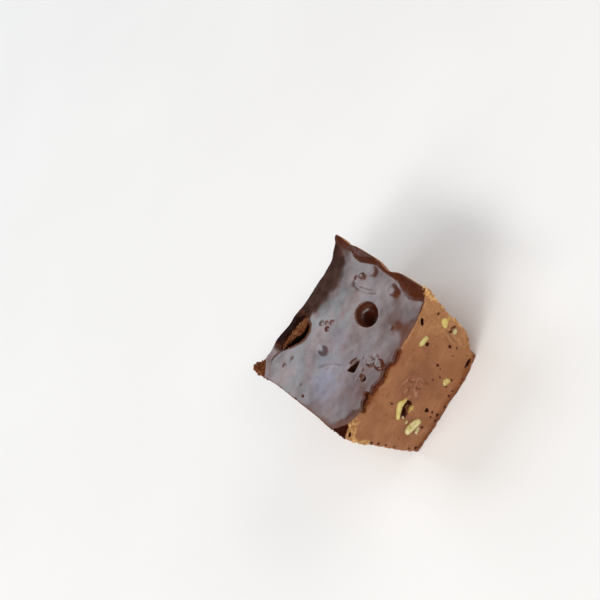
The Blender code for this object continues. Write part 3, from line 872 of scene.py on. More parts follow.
def skin_marks(x, y, z, c, bare, beyond, blotch, past, painted_shade):
    """Thin skin lets the milk-brown through, and painted grey and violet reflection sheens go on the skin's
    colour.
    """
    thin = after(beyond, -2.2, 2.4) * after(x, 3.5, 2.0) * before(x, 12.4, 1.8)
    patch = bell(np.hypot((x - 8.8) / 1.5, (y + 15.2 + 0.6 * wobble(x, y, z, 1.5, 83)) / 3.2), 1.0)
    thin = thin + 0.95 * patch
    uneven_thin = 0.7 * wobble(x, y, z, 1.8, 80)
    thin = np.maximum(thin, 0.9 * smooth((beyond + 1.9 + uneven_thin) / 1.9) * before(x, -11.0, 2.0))

    # Where the skin rolled over along the back, which gets painted shade, and behind the flake, where the
    # painted shade is darkest
    past_start = y - follow(x, ROLL_START) + 0.8 * wobble(x, y, z, 2.6, 81) + 0.35 * wobble(x, y, z, 1.0, 82)
    rolled_painted_shade = np.maximum(after(past_start, -3.1, 4.6), 0.35 * after(past_start, -5.5, 4.0))
    rolled_painted_shade = rolled_painted_shade * after(x, -1.0, 2.0)
    behind_flake = smooth((y - 16.4 + 2.6 * after(x, -2.6, 1.4)) / 0.8)
    behind_flake = behind_flake * smooth((x + 12.7 + 0.6 * blotch) / 1.7)
    rolled_painted_shade = np.maximum(rolled_painted_shade, behind_flake * before(x, 2.0, 1.0))
    uneven_end = 0.9 * wobble(x, y, z, 2.2, 84)
    deepest_painted_shade = behind_flake * smooth((-x - 0.3 + uneven_end) / 3.0) * np.maximum(1.0 - bare, 0.8 * past)
    deepest_painted_shade = deepest_painted_shade * after(z, 19.0, 1.0) * smooth((x + 12.0 + 0.8 * uneven_end) / 1.8)
    painted_shade = np.maximum(painted_shade, 0.86 * deepest_painted_shade)

    # The broken lip of the gap, and the lip along the near end
    near_gap = outline_distance(x, y, GAP)
    broken_lip = smooth((0.85 - near_gap + 0.25 * blotch) / 0.25) * smooth((follow(x, GAP_MIDDLE) - y) / 0.3)
    broken_lip = broken_lip * after(x, -11.0, 1.5) * after(z, 19.5, 1.0)
    thin = np.maximum(thin, 0.7 * before(x, -17.2, 1.8) * before(y, 3.0, 6.0))
    near_lip = smooth((near_end(y, c) + 0.5 + 0.15 * blotch - x) / 0.35) * before(y, 6.0, 5.0)
    thin = largest(thin, broken_lip, near_lip)

    # A painted grey reflection sheen, dull places and a painted violet reflection sheen
    on_rim = smooth((x - follow(y, RIM_START) - 0.1) / 0.9)
    near_corner = before(x, -10.0, 4.0) * before(y, -3.0, 6.0)
    grey_painted_sheen = 0.35 * bell(np.hypot(x - 9.0, y - 4.5), 4.0)
    grey_painted_sheen = grey_painted_sheen + 0.7 * after(y, -9.0, 22.0)
    grey_painted_sheen = grey_painted_sheen + 0.2 * flat_wobble(x, y, 5.0, 73) + 0.12 * flat_wobble(x, y, 2.2, 74)
    grey_painted_sheen = np.clip(grey_painted_sheen, 0.0, 1.0) * (1.0 - rolled_painted_shade) * (1.0 - thin) * before(x, 15.0, 3.0)
    dull = np.maximum(rolled_painted_shade, 0.9 * np.maximum(broken_lip, near_lip))
    dull = np.maximum(dull, np.maximum(0.82 * on_rim, 0.85 * patch) + 0.2 * near_corner)
    violet_painted_sheen = bell(np.hypot((x + 10.6) / 4.6, (y + 2.6) / 6.5), 1.0)
    violet_painted_sheen = violet_painted_sheen + 0.5 * bell(np.hypot(x + 0.8, y - 0.6), 2.6)
    marks = {
        "thin": np.clip(thin, 0.0, 1.0),
        "rolled_painted_shade": rolled_painted_shade,
        "dull": dull,
        "grey_painted_sheen": grey_painted_sheen,
        "violet_painted_sheen": violet_painted_sheen,
    }
    return marks, painted_shade


def block_marks(x, y, z, c, lid, upright, front, bare, low_edge, painted_shade):
    """How skinned, torn, dark, pale, thin and dull each place of the block is, and its painted shade,
    painted highlights and painted sheens.
    """
    # A painted highlight along the far end's top edge, which takes the crumb's finish instead of the skin's
    rim_painted_highlight = smooth((x - far_end(y, c) + 0.17) / 0.1) * after(x, 15.0, 1.0)
    rim_painted_highlight = rim_painted_highlight * smooth((lid + 0.45 + 0.2 * wobble(x, y, z, 1.5, 79)) / 0.15)
    on_top = smooth((lid - upright + 0.1) / 0.2) * (1.0 - rim_painted_highlight)
    beyond = skin_edge(x, y)
    blotch = wobble(x, y, z, 1.0, 72)
    past = smooth((y - follow(x, FLAKE_CRUMB) + 0.3 + 0.3 * blotch) / 0.7)
    painted_shade = pitted(x, y, z, low_edge, 1.0 - on_top, painted_shade)
    dark, painted_shade, crumbly = torn_marks(x, y, z, bare, beyond, blotch, past, painted_shade)
    pale, crumbly = pale_marks(x, y, z, c, front, beyond, rim_painted_highlight, dark, crumbly)
    skin, painted_shade = skin_marks(x, y, z, c, bare, beyond, blotch, past, painted_shade)
    return {
        "skin": on_top * (1.0 - bare),
        "bare": crumbly * on_top,
        "crumbly": crumbly,
        # The foot of the cut sides, darkened with painted shade in the crumb's colour
        "low": low_edge,
        "dragged": wrinkle_zone(x, z) * before(y, -18.0, 0.8),
        "dark": dark,
        "painted_shade": painted_shade,
        "pale": pale,
        **skin,
    }


# Making a mesh from a form

def deep_boxes():
    """Boxes where hollows go deeper than the band, as their lowest and highest corners."""
    room = 0.8
    cx, cy, half_x, half_y, depth = CRATERS[0][:5]
    return (
        (
            (cx - half_x - room, cy - half_y - room, HEIGHT - depth - room),
            (cx + half_x + room, cy + half_y + room, BEYOND),
        ),
        ((-12.5, 11.0, HEIGHT - GAP_DEPTH - room), (-0.5, 19.0, BEYOND)),
        ((-6.8, -11.0, HEIGHT - THREE_SIDED_DEPTH - room), (-1.8, -6.6, BEYOND)),
        ((9.0, -BEYOND, -BEYOND), (BEYOND, -11.0, 7.0)),
        ((-11.0, -BEYOND, 7.5), (-3.0, -16.0, 13.5)),
        ((5.5, -BEYOND, -BEYOND), (15.5, -16.5, BEYOND)),
    )


def sample(form, plain, low, high, steps):
    """Values of a form on a grid: the plain form everywhere, and the full one near its skin."""
    axes = [np.arange(a, b + step, step) for a, b, step in zip(low, high, steps)]
    x, y, z = axes[0][:, None, None], axes[1][None, :, None], axes[2][None, None, :]
    values = np.array(np.broadcast_to(plain(x, y, z), [len(axis) for axis in axes]))
    near = np.abs(values) < BAND
    for box_low, box_high in deep_boxes():
        inside = True
        for value, a, b in zip((x, y, z), box_low, box_high):
            inside = inside & (value > a) & (value < b)
        near = near | inside
    i, j, k = np.nonzero(near)
    values[i, j, k] = form(axes[0][i], axes[1][j], axes[2][k])
    return values


def surface_net(values, low, steps):
    """Vertices and quads of the zero surface of a sampled form."""
    shape = np.array(values.shape) - 1
    keys, places, quads = [], [], []
    for axis in range(3):
        first = np.moveaxis(values, axis, 0)[:-1]
        second = np.moveaxis(values, axis, 0)[1:]
        found = np.argwhere((first < 0) != (second < 0))
        a = first[tuple(found.T)]
        b = second[tuple(found.T)]
        order = [axis] + [other for other in range(3) if other != axis]
        cell = np.empty_like(found)
        cell[:, order] = found
        place = cell.astype(float)
        place[:, axis] += a / (a - b)
        u, v = order[1:]
        ring = []
        inside = np.ones(len(cell), bool)
        for du, dv in ((-1, -1), (0, -1), (0, 0), (-1, 0)):
            corner = cell.copy()
            corner[:, u] += du
            corner[:, v] += dv
            key = (corner[:, 0] * shape[1] + corner[:, 1]) * shape[2] + corner[:, 2]
            fits = ((corner >= 0) & (corner < shape)).all(axis=1)
            inside &= fits
            keys.append(key[fits])
            places.append(place[fits])
            ring.append(key)
        ring = np.array(ring).T[inside]
        outward = (a < 0)[inside] == (axis != 1)
        quads.append(np.where(outward[:, None], ring, ring[:, ::-1]))
    keys = np.concatenate(keys)
    places = np.concatenate(places)
    quads = np.concatenate(quads)
    used, index = np.unique(keys, return_inverse=True)
    count = np.bincount(index)
    points = np.stack([np.bincount(index, weights=places[:, axis]) / count for axis in range(3)], axis=1)
    return points * np.array(steps) + np.array(low), np.searchsorted(used, quads)


def settle(points, form, reach, rounds=3, probe=0.03, gentlest=0.2):
    """Move points onto the zero of a form, along its slope."""
    for _ in range(rounds):
        x, y, z = points.T
        value = form(x, y, z)
        slope = np.stack(
            [
                (form(x + probe, y, z) - value) / probe,
                (form(x, y + probe, z) - value) / probe,
                (form(x, y, z + probe) - value) / probe,
            ],
            axis=1,
        )
        steep = np.maximum((slope**2).sum(axis=1), gentlest)
        move = -slope * (value / steep)[:, None]
        length = np.linalg.norm(move, axis=1, keepdims=True)
        points = points + move * np.minimum(1.0, reach / np.maximum(length, 1e-9))
    return points


def keep_largest(points, faces):
    """Leave out loose scraps: keep the body with the most faces."""
    label = np.arange(len(points))
    while True:
        lowest = label[faces].min(axis=1)
        new = label.copy()
        for corner in range(faces.shape[1]):
            np.minimum.at(new, faces[:, corner], lowest)
        new = new[new]
        if (new == label).all():
            break
        label = new
    names, counts = np.unique(label[faces[:, 0]], return_counts=True)
    kept = faces[label[faces[:, 0]] == names[counts.argmax()]]
    used, index = np.unique(kept, return_inverse=True)
    return points[used], index.reshape(kept.shape)


def add_mesh(name, points, faces, values=None):
    """Make an object from points in the block's frame, in millimetres, with values kept at each point."""
    moved = (points - np.array([MIDDLE[0], MIDDLE[1], 0.0])) * MM
    mesh = bpy.data.meshes.new(name)
    mesh.vertices.add(len(moved))
    mesh.vertices.foreach_set("co", moved.astype(np.float32).ravel())
    sides = faces.shape[1]
    mesh.loops.add(len(faces) * sides)
    mesh.loops.foreach_set("vertex_index", faces.astype(np.int32).ravel())
    mesh.polygons.add(len(faces))
    mesh.polygons.foreach_set("loop_start", np.arange(0, len(faces) * sides, sides, dtype=np.int32))
    mesh.update(calc_edges=True)
    mesh.validate()
    for key, value in (values or {}).items():
        attribute = mesh.attributes.new(key, "FLOAT", "POINT")
        attribute.data.foreach_set("value", np.broadcast_to(value, len(moved)).astype(np.float32))
    mesh.shade_smooth()
    thing = bpy.data.objects.new(name, mesh)
    bpy.context.scene.collection.objects.link(thing)
    return thing


def flatten_base(mesh, touching=1e-7):
    """Make the flat of the base few faces."""
    bm = bmesh.new()
    bm.from_mesh(mesh)
    flat = [face for face in bm.faces if all(vert.co.z < touching for vert in face.verts)]
    bmesh.ops.dissolve_faces(bm, faces=flat, use_verts=False)
    joined = [face for face in bm.faces if len(face.verts) > 4]
    bmesh.ops.triangulate(bm, faces=joined)
    bm.to_mesh(mesh)
    bm.free()


def build_block():
    values = sample(block_form, plain_block, GRID_LOW, GRID_HIGH, BLOCK_STEPS)
    points, faces = surface_net(values, GRID_LOW, BLOCK_STEPS)
    points, faces = keep_largest(points, faces)
    points = settle(points, block_form, min(BLOCK_STEPS) * SETTLE_SHARE)
    points[:, 2] = np.where(points[:, 2] < BASE_FLAT, 0.0, points[:, 2])
    _, marks = block_form(*points.T, parts=True)
    return add_mesh("fudge_block", points, faces, marks)


# Loose crumbs, which stick where the fudge broke: radii in millimetres, and how many on a square millimetre
CRUMB_SMALLEST = 0.10
CRUMB_LARGEST = 0.30
CRUMBS_PER_SQUARE = 5.0
CRUMB_SEED = 12

# How large the noise is that makes a crumb uneven, and the most that a crumb is turned about an axis
CRUMB_GRAIN = 0.35
CRUMB_TURN = 6.2

# How crumbly a place is from which crumbs stick there
CRUMBLY_FROM = 0.6


def give(tree, node, inputs):
    """Give a node's inputs plain values, or links from the outputs of other nodes."""
    for key, value in inputs.items():
        if isinstance(value, bpy.types.NodeSocket):
            tree.links.new(value, node.inputs[key])
        else:
            node.inputs[key].default_value = value


def add_node(tree, kind, inputs=None, **settings):
    """Add a node with its settings and inputs."""
    made = tree.nodes.new(kind)
    for key, value in settings.items():
        setattr(made, key, value)
    give(tree, made, inputs or {})
    return made


def crumb_tree():
    """Scatter small uneven lumps over a surface."""
    tree = bpy.data.node_groups.new("crumb scatter", "GeometryNodeTree")
    for name, kind, way in (
        ("Surface", "NodeSocketGeometry", "INPUT"),
        ("Density", "NodeSocketFloat", "INPUT"),
        ("Smallest", "NodeSocketFloat", "INPUT"),
        ("Largest", "NodeSocketFloat", "INPUT"),
        ("Seed", "NodeSocketInt", "INPUT"),
        ("Finish", "NodeSocketMaterial", "INPUT"),
        ("Crumbs", "NodeSocketGeometry", "OUTPUT"),
    ):
        tree.interface.new_socket(name=name, in_out=way, socket_type=kind)
    given = add_node(tree, "NodeGroupInput").outputs
    scatter = add_node(
        tree,
        "GeometryNodeDistributePointsOnFaces",
        {"Mesh": given["Surface"], "Density": given["Density"], "Seed": given["Seed"]},
    )
    lump = add_node(tree, "GeometryNodeMeshIcoSphere", {"Radius": 1.0, "Subdivisions": 1})
    size = add_node(
        tree,
        "FunctionNodeRandomValue",
        {2: given["Smallest"], 3: given["Largest"], "Seed": given["Seed"]},
        data_type="FLOAT",
    )
    turn = add_node(
        tree,
        "FunctionNodeRandomValue",
        {1: (CRUMB_TURN, CRUMB_TURN, CRUMB_TURN), "Seed": given["Seed"]},
        data_type="FLOAT_VECTOR",
    )
    place = add_node(
        tree,
        "GeometryNodeInstanceOnPoints",
        {
            "Points": scatter.outputs["Points"],
            "Instance": lump.outputs["Mesh"],
            "Rotation": turn.outputs[0],
            "Scale": size.outputs[1],
        },
    )
    made = add_node(tree, "GeometryNodeRealizeInstances", {"Geometry": place.outputs["Instances"]})
    uneven = add_node(tree, "ShaderNodeTexNoise", {"Scale": 1.0 / (CRUMB_GRAIN * MM)})
    middle = add_node(
        tree,
        "ShaderNodeVectorMath",
        {0: uneven.outputs["Color"], 1: (0.5, 0.5, 0.5)},
        operation="SUBTRACT",
    )
    reach = add_node(
        tree,
        "ShaderNodeVectorMath",
        {0: middle.outputs["Vector"], "Scale": given["Largest"]},
        operation="SCALE",
    )
    push = add_node(
        tree,
        "GeometryNodeSetPosition",
        {"Geometry": made.outputs["Geometry"], "Offset": reach.outputs["Vector"]},
    )
    dress = add_node(
        tree,
        "GeometryNodeSetMaterial",
        {"Geometry": push.outputs["Geometry"], "Material": given["Finish"]},
    )
    add_node(tree, "NodeGroupOutput", {"Crumbs": dress.outputs["Geometry"]})
    return tree


def crumbly_surface(block):
    """The block's faces where crumbs stick, as a mesh of its own with the same marks."""
    mesh = block.data.copy()
    marks = np.zeros(len(mesh.vertices), np.float32)
    mesh.attributes["crumbly"].data.foreach_get("value", marks)
    bm = bmesh.new()
    bm.from_mesh(mesh)
    bm.verts.ensure_lookup_table()
    smooth_faces = [face for face in bm.faces if min(marks[v.index] for v in face.verts) < CRUMBLY_FROM]
    bmesh.ops.delete(bm, geom=smooth_faces, context="FACES")
    bm.to_mesh(mesh)
    bm.free()
    return mesh


def build_crumbs(block, finish):
    source = bpy.data.objects.new("crumb_source", crumbly_surface(block))
    bpy.context.scene.collection.objects.link(source)
    tree = crumb_tree()
    modifier = source.modifiers.new("crumbs", "NODES")
    modifier.node_group = tree
    values = {
        "Density": CRUMBS_PER_SQUARE / MM**2,
        "Smallest": CRUMB_SMALLEST * MM,
        "Largest": CRUMB_LARGEST * MM,
        "Seed": CRUMB_SEED,
        "Finish": finish,
    }
    for item in tree.interface.items_tree:
        if item.item_type == "SOCKET" and item.in_out == "INPUT" and item.name in values:
            modifier[item.identifier] = values[item.name]
    graph = bpy.context.evaluated_depsgraph_get()
    evaluated = source.evaluated_get(graph)
    mesh = bpy.data.meshes.new_from_object(evaluated, preserve_all_data_layers=True, depsgraph=graph)
    bpy.data.objects.remove(source)
    mesh.name = "crumbs"
    mesh.shade_smooth()
    crumbs = bpy.data.objects.new("crumbs", mesh)
    bpy.context.scene.collection.objects.link(crumbs)
    return crumbs


# Walnut

# How thick a bit is, and how far its edge is smeared with fudge
WALNUT_THICK = 1.0
SMEAR_WIDTH = 0.35


def walnut_form(points, proud, seed):
    """One broken bit: its outline cut flush with the cut side, and a wrinkled body behind."""
    def form(a, b, c):
        side = outline_distance(a, b, points) + 0.08 * wobble(a, b, c, 0.8, seed)
        inward = side + 0.4 + 0.25 * np.maximum(c - 0.4, 0.0)
        body = np.hypot(np.maximum(inward, 0.0), np.maximum(c - 0.6, 0.0)) - 0.4
        body = np.where(inward < 0.0, np.maximum(inward, c - WALNUT_THICK), body)
        crown = 0.14 * bell(side, 0.45)
        sliced = -c - proud + crown + 0.03 * rough(a, b, c, 0.6, seed + 5)
        return round_max(body, sliced, 0.15)
    return form


def walnut_mesh(points, proud, seed):
    """Points and faces of one bit: a and b lie in the cut side and c goes into the block."""
    form = walnut_form(points, proud, seed)
    low, high = reach_of(points, 0.6)
    low, high = (*low, -1.0), (*high, 1.6)
    axes = [np.arange(a, b + WALNUT_STEP, WALNUT_STEP) for a, b in zip(low, high)]
    grid = np.meshgrid(*axes, indexing="ij")
    values = form(*[g.ravel() for g in grid]).reshape(grid[0].shape)
    steps = (WALNUT_STEP,) * 3
    found, faces = surface_net(values, low, steps)
    found, faces = keep_largest(found, faces)
    return settle(found, form, WALNUT_STEP * SETTLE_SHARE), faces


def build_walnut():
    """All the bits as one piece: those of the cut side, and some on each other side."""
    bits = [("cut", 200 + 20 * number, *bit) for number, bit in enumerate(FRONT_WALNUTS)]
    bits += [(side, 500 + 20 * number, *bit) for number, (side, *bit) in enumerate(HIDDEN_WALNUTS)]
    points, faces, paleness, edges, total = [], [], [], [], 0
    for side, seed, outline, proud, pale in bits:
        found, quads = walnut_mesh(outline, proud, seed)
        a, b, c = found.T
        share = b / HEIGHT
        if side == "cut":
            placed = np.stack([a, front_side(a, share) + c, b], axis=1)
        elif side == "back":
            placed = np.stack([a, back_side(a, share) - c, b], axis=1)
        elif side == "far":
            placed = np.stack([far_end(a, share) - c, a, b], axis=1)
        else:
            placed = np.stack([near_end(a, share) + c, a, b], axis=1)
        if side in ("cut", "far"):
            quads = quads[:, ::-1]
        points.append(placed)
        faces.append(quads + total)
        paleness.append(np.full(len(found), pale))
        edges.append(smooth(1.0 + outline_distance(a, b, outline) / SMEAR_WIDTH))
        total += len(found)
    marks = {"paleness": np.concatenate(paleness), "edge": np.concatenate(edges)}
    return add_mesh("walnut_bits", np.concatenate(points), np.concatenate(faces), marks)


# Materials

# How far each colour of light goes inside the fudge and the walnut, as shares of the longest
FUDGE_GLOW = (1.0, 0.45, 0.25)
WALNUT_GLOW = (1.0, 0.75, 0.35)

# Two nearly equal greys of the floor
FLOOR_GREYS = ((0.91, 0.91, 0.91, 1.0), (0.93, 0.93, 0.93, 1.0))


class Graph:
    """A material's nodes, with the calls that the finishes below repeat."""

    def __init__(self, name):
        self.material = bpy.data.materials.new(name)
        self.material.use_nodes = True
        self.tree = self.material.node_tree
        self.shader = self.tree.nodes["Principled BSDF"]
        self.place = self.node("ShaderNodeTexCoord").outputs["Object"]

    def node(self, kind, inputs=None, **settings):
        return add_node(self.tree, kind, inputs, **settings)

    def attribute(self, name):
        return self.node("ShaderNodeAttribute", attribute_name=name).outputs["Fac"]

    def noise(self, size_mm, detail=3.0, roughness=0.5, stretch=None):
        source = self.place
        if stretch:
            source = self.node("ShaderNodeMapping", {"Vector": source, "Scale": stretch}).outputs["Vector"]
        inputs = {"Vector": source, "Scale": 1.0 / (size_mm * MM), "Detail": detail, "Roughness": roughness}
        return self.node("ShaderNodeTexNoise", inputs).outputs["Fac"]

    def spread(self, source, low, high, to_low=0.0, to_high=1.0):
        """An eased step from to_low, where the source is low, up to to_high, where it is high."""
        inputs = {"Value": source, "From Min": low, "From Max": high, "To Min": to_low, "To Max": to_high}
        return self.node("ShaderNodeMapRange", inputs, interpolation_type="SMOOTHSTEP").outputs["Result"]

    def maths(self, operation, a, b):
        return self.node("ShaderNodeMath", {0: a, 1: b}, operation=operation).outputs["Value"]

    def mix(self, share, a, b):
        """A share of colour b over colour a."""
        return self.node("ShaderNodeMix", {0: share, 6: a, 7: b}, data_type="RGBA").outputs[2]

    def blend(self, share, a, b):
        """A share of number b over number a."""
        return self.node("ShaderNodeMix", {0: share, 2: a, 3: b}, data_type="FLOAT").outputs[0]

    def bump(self, height, distance_mm, strength=1.0):
        inputs = {"Height": height, "Distance": distance_mm * MM, "Strength": strength}
        return self.node("ShaderNodeBump", inputs).outputs["Normal"]

    def finish(self, colour, roughness, normal, specular, glow=None):
        """Set the shader. Glow is the weight of the light inside, its reach by colour, and its scale."""
        inputs = {
            "Base Color": colour,
            "Roughness": roughness,
            "Normal": normal,
            "Specular IOR Level": specular,
        }
        if glow:
            weight, radius, scale_mm = glow
            inputs["Subsurface Weight"] = weight
            inputs["Subsurface Radius"] = radius
            inputs["Subsurface Scale"] = scale_mm * MM
        give(self.tree, self.shader, inputs)
        return self.material


def srgb(red, green, blue):
    """A colour read as screen values from 0 to 255, made linear."""
    def channel(value):
        value /= 255.0
        return value / 12.92 if value <= 0.04045 else ((value + 0.055) / 1.055) ** 2.4
    return (channel(red), channel(green), channel(blue), 1.0)


def paint_shade_in_hollows(g, colour):
    """Painted shade in hollows: brown inside, and nearly black where they are narrow."""
    depth = g.attribute("painted_shade")
    colour = g.mix(g.spread(depth, 0.03, 0.25), colour, srgb(86, 45, 30))
    colour = g.mix(g.spread(depth, 0.3, 0.46), colour, srgb(58, 25, 13))
    return g.mix(g.spread(depth, 0.6, 1.0), colour, srgb(12, 5, 3))


def crumb_colours(g):
    """Milk-brown of the cut, with darker torn places, painted shade in hollows and toward the base, painted
    light and shade on drag lines, and paler, drier edges with painted highlights.
    """
    cloud = g.noise(5.0, 3.0)
    streak = g.noise(1.6, 4.0, 0.6, stretch=(0.35, 1.0, 1.6))
    mottle = g.noise(0.55, 3.0, 0.6)
    fleck = g.noise(0.3, 2.0)
    colour = g.mix(g.spread(cloud, 0.3, 0.7), srgb(137, 88, 55), srgb(154, 104, 68))
    colour = g.mix(g.spread(streak, 0.5, 0.75, 0.0, 0.4), colour, srgb(176, 128, 96))
    colour = g.mix(g.spread(mottle, 0.5, 0.72, 0.0, 0.4), colour, srgb(122, 74, 44))
    colour = g.mix(g.spread(fleck, 0.62, 0.75, 0.0, 0.45), colour, srgb(100, 54, 28))
    crumb = g.mix(g.spread(g.noise(0.7, 4.0, 0.7), 0.38, 0.66), srgb(74, 38, 18), srgb(160, 108, 64))
    # Darker toward the base of the cut sides: painted shade
    low = g.maths("MULTIPLY", g.attribute("low"), g.spread(g.noise(1.3, 3.0, 0.6), 0.3, 0.6, 0.45, 1.0))
    colour = g.mix(low, colour, srgb(116, 62, 24))
    colour = g.mix(g.maths("MULTIPLY", g.attribute("dragged"), 0.45), colour, srgb(122, 76, 54))
    colour = g.mix(g.attribute("bare"), colour, crumb)
    # Raised drag lines and wrinkles get a painted highlight, and sunk ones painted shade
    colour = g.mix(g.spread(g.attribute("streak"), 0.15, 1.2, 0.0, 0.6), colour, srgb(182, 134, 106))
    colour = g.mix(g.spread(g.attribute("streak"), -1.2, -0.15, 0.55, 0.0), colour, srgb(104, 60, 38))
    # Pale places: dry crumb, and painted highlights along the far end's edges
    pale = g.mix(g.spread(g.noise(0.8, 3.0, 0.6), 0.35, 0.65), srgb(164, 112, 62), srgb(222, 178, 118))
    colour = g.mix(g.spread(g.attribute("pale"), 0.0, 1.0, 0.0, 0.95), colour, pale)
    torn = g.mix(g.spread(g.noise(0.6, 4.0, 0.7), 0.35, 0.7), srgb(80, 26, 6), srgb(136, 62, 20))
    torn = g.mix(g.spread(g.attribute("dark"), 1.0, 1.4), torn, srgb(58, 22, 10))
    colour = g.mix(g.attribute("dark"), colour, torn)
    return paint_shade_in_hollows(g, colour), streak


def fudge_finish():
    """The cut and torn places: satin where the knife went, dull where the fudge broke."""
    g = Graph("fudge crumb")
    colour, streak = crumb_colours(g)
    matt = g.spread(streak, 0.3, 0.7, 0.42, 0.58)
    roughness = g.blend(g.attribute("bare"), matt, 0.75)
    strength = g.maths("ADD", 0.35, g.maths("MULTIPLY", g.attribute("bare"), 0.6))
    strength = g.maths("ADD", strength, g.maths("MULTIPLY", g.attribute("dragged"), 0.4))
    normal = g.bump(g.noise(0.4, 5.0, 0.65), 0.22, strength)
    dull = g.maths("MAXIMUM", g.attribute("painted_shade"), g.maths("MULTIPLY", g.attribute("dark"), 0.3))
    gloss = g.spread(dull, 0.05, 0.4, 0.22, 0.03)
    return g.finish(colour, roughness, normal, gloss, (0.1, FUDGE_GLOW, 0.5))


def skin_finish():
    """The dark glossy skin with painted grey and violet reflection sheens in its colour, which ends in
    crumb.
    """
    g = Graph("glossy skin")
    crumb, _ = crumb_colours(g)
    cloud = g.noise(4.0, 4.0)
    dark = g.mix(g.spread(cloud, 0.3, 0.7), srgb(70, 32, 18), srgb(88, 44, 26))
    # The strip along the back, where the skin rolled over, gets a darker colour: painted shade
    strip = g.mix(g.spread(g.noise(2.4, 3.0), 0.35, 0.65), srgb(54, 31, 24), srgb(74, 49, 42))
    dark = g.mix(g.attribute("rolled_painted_shade"), dark, strip)
    # A grey painted reflection sheen mixed into the skin's colour
    grey_sheen_colour = g.mix(g.spread(g.noise(4.2, 3.0), 0.4, 0.6), srgb(104, 114, 118), srgb(136, 114, 114))
    dark = g.mix(g.maths("MULTIPLY", g.attribute("grey_painted_sheen"), 0.48), dark, grey_sheen_colour)
    # A painted violet reflection sheen
    violet_painted_sheen = g.maths("MULTIPLY", g.attribute("violet_painted_sheen"), g.spread(g.noise(3.4, 3.0), 0.35, 0.62, 0.12, 0.36))
    dark = g.mix(violet_painted_sheen, dark, srgb(92, 96, 150))
    dark = g.mix(g.attribute("thin"), dark, srgb(98, 60, 44))
    dark = paint_shade_in_hollows(g, dark)
    skin = g.spread(g.attribute("skin"), 0.25, 0.75)
    colour = g.mix(skin, crumb, dark)
    satin = g.spread(g.noise(2.2, 4.0, 0.6), 0.3, 0.75, 0.2, 0.34)
    satin = g.blend(g.attribute("thin"), satin, 0.55)
    satin = g.blend(g.attribute("rolled_painted_shade"), satin, 0.62)
    satin = g.blend(g.spread(g.attribute("painted_shade"), 0.46, 0.6), satin, 0.7)
    roughness = g.blend(skin, 0.5, satin)
    normal = g.bump(g.noise(0.9, 3.0, 0.55), 0.16, 0.06)
    dull = g.maths("MAXIMUM", g.attribute("dull"), g.spread(g.attribute("painted_shade"), 0.42, 0.47))
    dull = g.maths("ADD", dull, g.spread(g.noise(3.2, 3.0, 0.6), 0.48, 0.68, 0.0, 0.3))
    gloss = g.blend(skin, 0.2, g.spread(dull, 0.0, 1.0, 0.51, 0.03))
    return g.finish(colour, roughness, normal, gloss, (0.06, FUDGE_GLOW, 0.5))


def walnut_finish():
    """Oily yellow flesh with a fine grain, paler where cut thin, and smeared with fudge at its edge."""
    g = Graph("walnut flesh")
    grain = g.noise(0.25, 4.0, 0.65)
    yellow = g.mix(g.spread(g.noise(1.4, 3.0), 0.35, 0.65), srgb(184, 154, 70), srgb(214, 196, 116))
    white = g.mix(g.spread(g.noise(0.8, 3.0), 0.35, 0.65), srgb(178, 178, 122), srgb(222, 216, 182))
    colour = g.mix(g.attribute("paleness"), yellow, white)
    colour = g.mix(g.spread(grain, 0.52, 0.75, 0.0, 0.4), colour, srgb(140, 112, 54))
    colour = g.mix(g.spread(g.noise(0.9, 2.0), 0.66, 0.74), colour, srgb(150, 106, 58))
    smear = g.maths("MULTIPLY", g.attribute("edge"), g.spread(g.noise(0.7, 3.0, 0.6), 0.3, 0.6, 0.2, 0.9))
    colour = g.mix(smear, colour, srgb(146, 104, 60))
    roughness = g.spread(grain, 0.3, 0.7, 0.35, 0.55)
    return g.finish(colour, roughness, g.bump(grain, 0.15, 0.6), 0.4, (0.2, WALNUT_GLOW, 0.6))


def floor_finish():
    g = Graph("pale floor")
    colour = g.mix(g.spread(g.noise(60.0, 2.0), 0.3, 0.7), *FLOOR_GREYS)
    return g.finish(colour, 0.7, g.bump(g.noise(0.8, 2.0), 0.02, 0.1), 0.2)


# How much skin a face has at least to get the glossy finish, which turns to crumb within it
SKIN_FROM = 0.05


def finish_block(block):
    """Give the skin's faces the glossy finish and all others the crumb's."""
    mesh = block.data
    crumb = fudge_finish()
    mesh.materials.append(crumb)
    mesh.materials.append(skin_finish())
    skin = np.zeros(len(mesh.vertices), np.float32)
    mesh.attributes["skin"].data.foreach_get("value", skin)
    corners = np.zeros(len(mesh.loops), np.int32)
    mesh.loops.foreach_get("vertex_index", corners)
    starts = np.zeros(len(mesh.polygons), np.int32)
    mesh.polygons.foreach_get("loop_start", starts)
    highest = np.maximum.reduceat(skin[corners], starts)
    mesh.polygons.foreach_set("material_index", (highest > SKIN_FROM).astype(np.int32))
    return crumb


# Floor, light and camera
FLOOR_HALF = 4.0
FLOOR_DROP = 0.00005
CAMERA_AT = (26.70, -296.19, 268.90)
CAMERA_FORWARD = (-0.06356, 0.78645, -0.61438)
CAMERA_UP = (0.86633, 0.34909, 0.35723)
CAMERA_LENS = 100.0
SENSOR = 36.0
CAMERA_NEAREST = 0.01

# Soft lights: the way to each as degrees round from +Y toward +X and degrees up, its distance, its width and
# height in metres, the brightness of its face, and its colour
LIGHTS = (
    ("window", -4.6, 34.2, 1.5, 0.82, 0.78, 4.45, (0.79, 0.88, 0.96)),
    ("front strip", -158.0, 42.0, 1.3, 2.60, 0.20, 7.6, (1.0, 0.96, 0.92)),
    ("left side", -100.0, 46.0, 1.4, 1.50, 0.35, 5.2, (1.0, 0.97, 0.93)),
    ("right side", 108.0, 17.0, 1.4, 1.50, 0.70, 2.7, (1.0, 0.97, 0.93)),
)

# Even dim light from all around
WORLD_STRENGTH = 0.15
WORLD_COLOUR = (1.0, 0.95, 0.91, 1.0)


def frame_point(x, y, z):
    """A point of the block's frame in metres in the part's frame."""
    return Vector(((x - MIDDLE[0]) * MM, (y - MIDDLE[1]) * MM, z * MM))


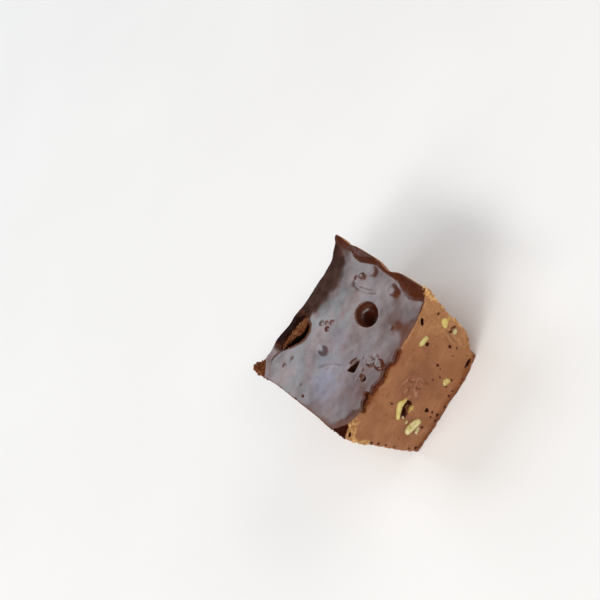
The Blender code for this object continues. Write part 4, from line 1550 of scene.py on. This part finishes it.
def add_floor():
    bm = bmesh.new()
    bmesh.ops.create_grid(bm, x_segments=2, y_segments=2, size=FLOOR_HALF)
    mesh = bpy.data.meshes.new("floor")
    bm.to_mesh(mesh)
    bm.free()
    floor = bpy.data.objects.new("floor", mesh)
    floor.location.z = -FLOOR_DROP
    bpy.context.scene.collection.objects.link(floor)
    mesh.materials.append(floor_finish())


def add_panel(name, turn, rise, distance, width, height, brightness, colour):
    """A soft rectangular light that faces the block, with a given brightness of its face."""
    data = bpy.data.lights.new(name, "AREA")
    data.shape = "RECTANGLE"
    data.size = width
    data.size_y = height
    data.energy = brightness * math.pi * width * height
    data.color = colour
    light = bpy.data.objects.new(name, data)
    turn, rise = math.radians(turn), math.radians(rise)
    toward = Vector((math.sin(turn) * math.cos(rise), math.cos(turn) * math.cos(rise), math.sin(rise)))
    light.location = toward * distance
    light.rotation_mode = "QUATERNION"
    light.rotation_quaternion = toward.to_track_quat("Z", "Y")
    bpy.context.scene.collection.objects.link(light)


def add_world():
    world = bpy.data.worlds.new("studio")
    world.use_nodes = True
    back = world.node_tree.nodes["Background"]
    back.inputs["Color"].default_value = WORLD_COLOUR
    back.inputs["Strength"].default_value = WORLD_STRENGTH
    bpy.context.scene.world = world


def add_camera():
    data = bpy.data.cameras.new("camera")
    data.lens = CAMERA_LENS
    data.sensor_width = SENSOR
    data.clip_start = CAMERA_NEAREST
    camera = bpy.data.objects.new("camera", data)
    forward = Vector(CAMERA_FORWARD).normalized()
    up = Vector(CAMERA_UP)
    up = (up - forward * up.dot(forward)).normalized()
    right = forward.cross(up)
    turn = Matrix((right, up, -forward)).transposed()
    camera.matrix_world = Matrix.Translation(frame_point(*CAMERA_AT)) @ turn.to_4x4()
    bpy.context.scene.collection.objects.link(camera)
    bpy.context.scene.camera = camera


def main():
    bpy.context.scene.view_settings.view_transform = "Standard"
    block = build_block()
    flatten_base(block.data)
    crumbs = build_crumbs(block, finish_block(block))
    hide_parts("fudge")
    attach(block, "root")
    walnut = build_walnut()
    walnut.data.materials.append(walnut_finish())
    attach(walnut, "root")
    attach(crumbs, "root")
    add_floor()
    for light in LIGHTS:
        add_panel(*light)
    add_world()
    add_camera()


main()
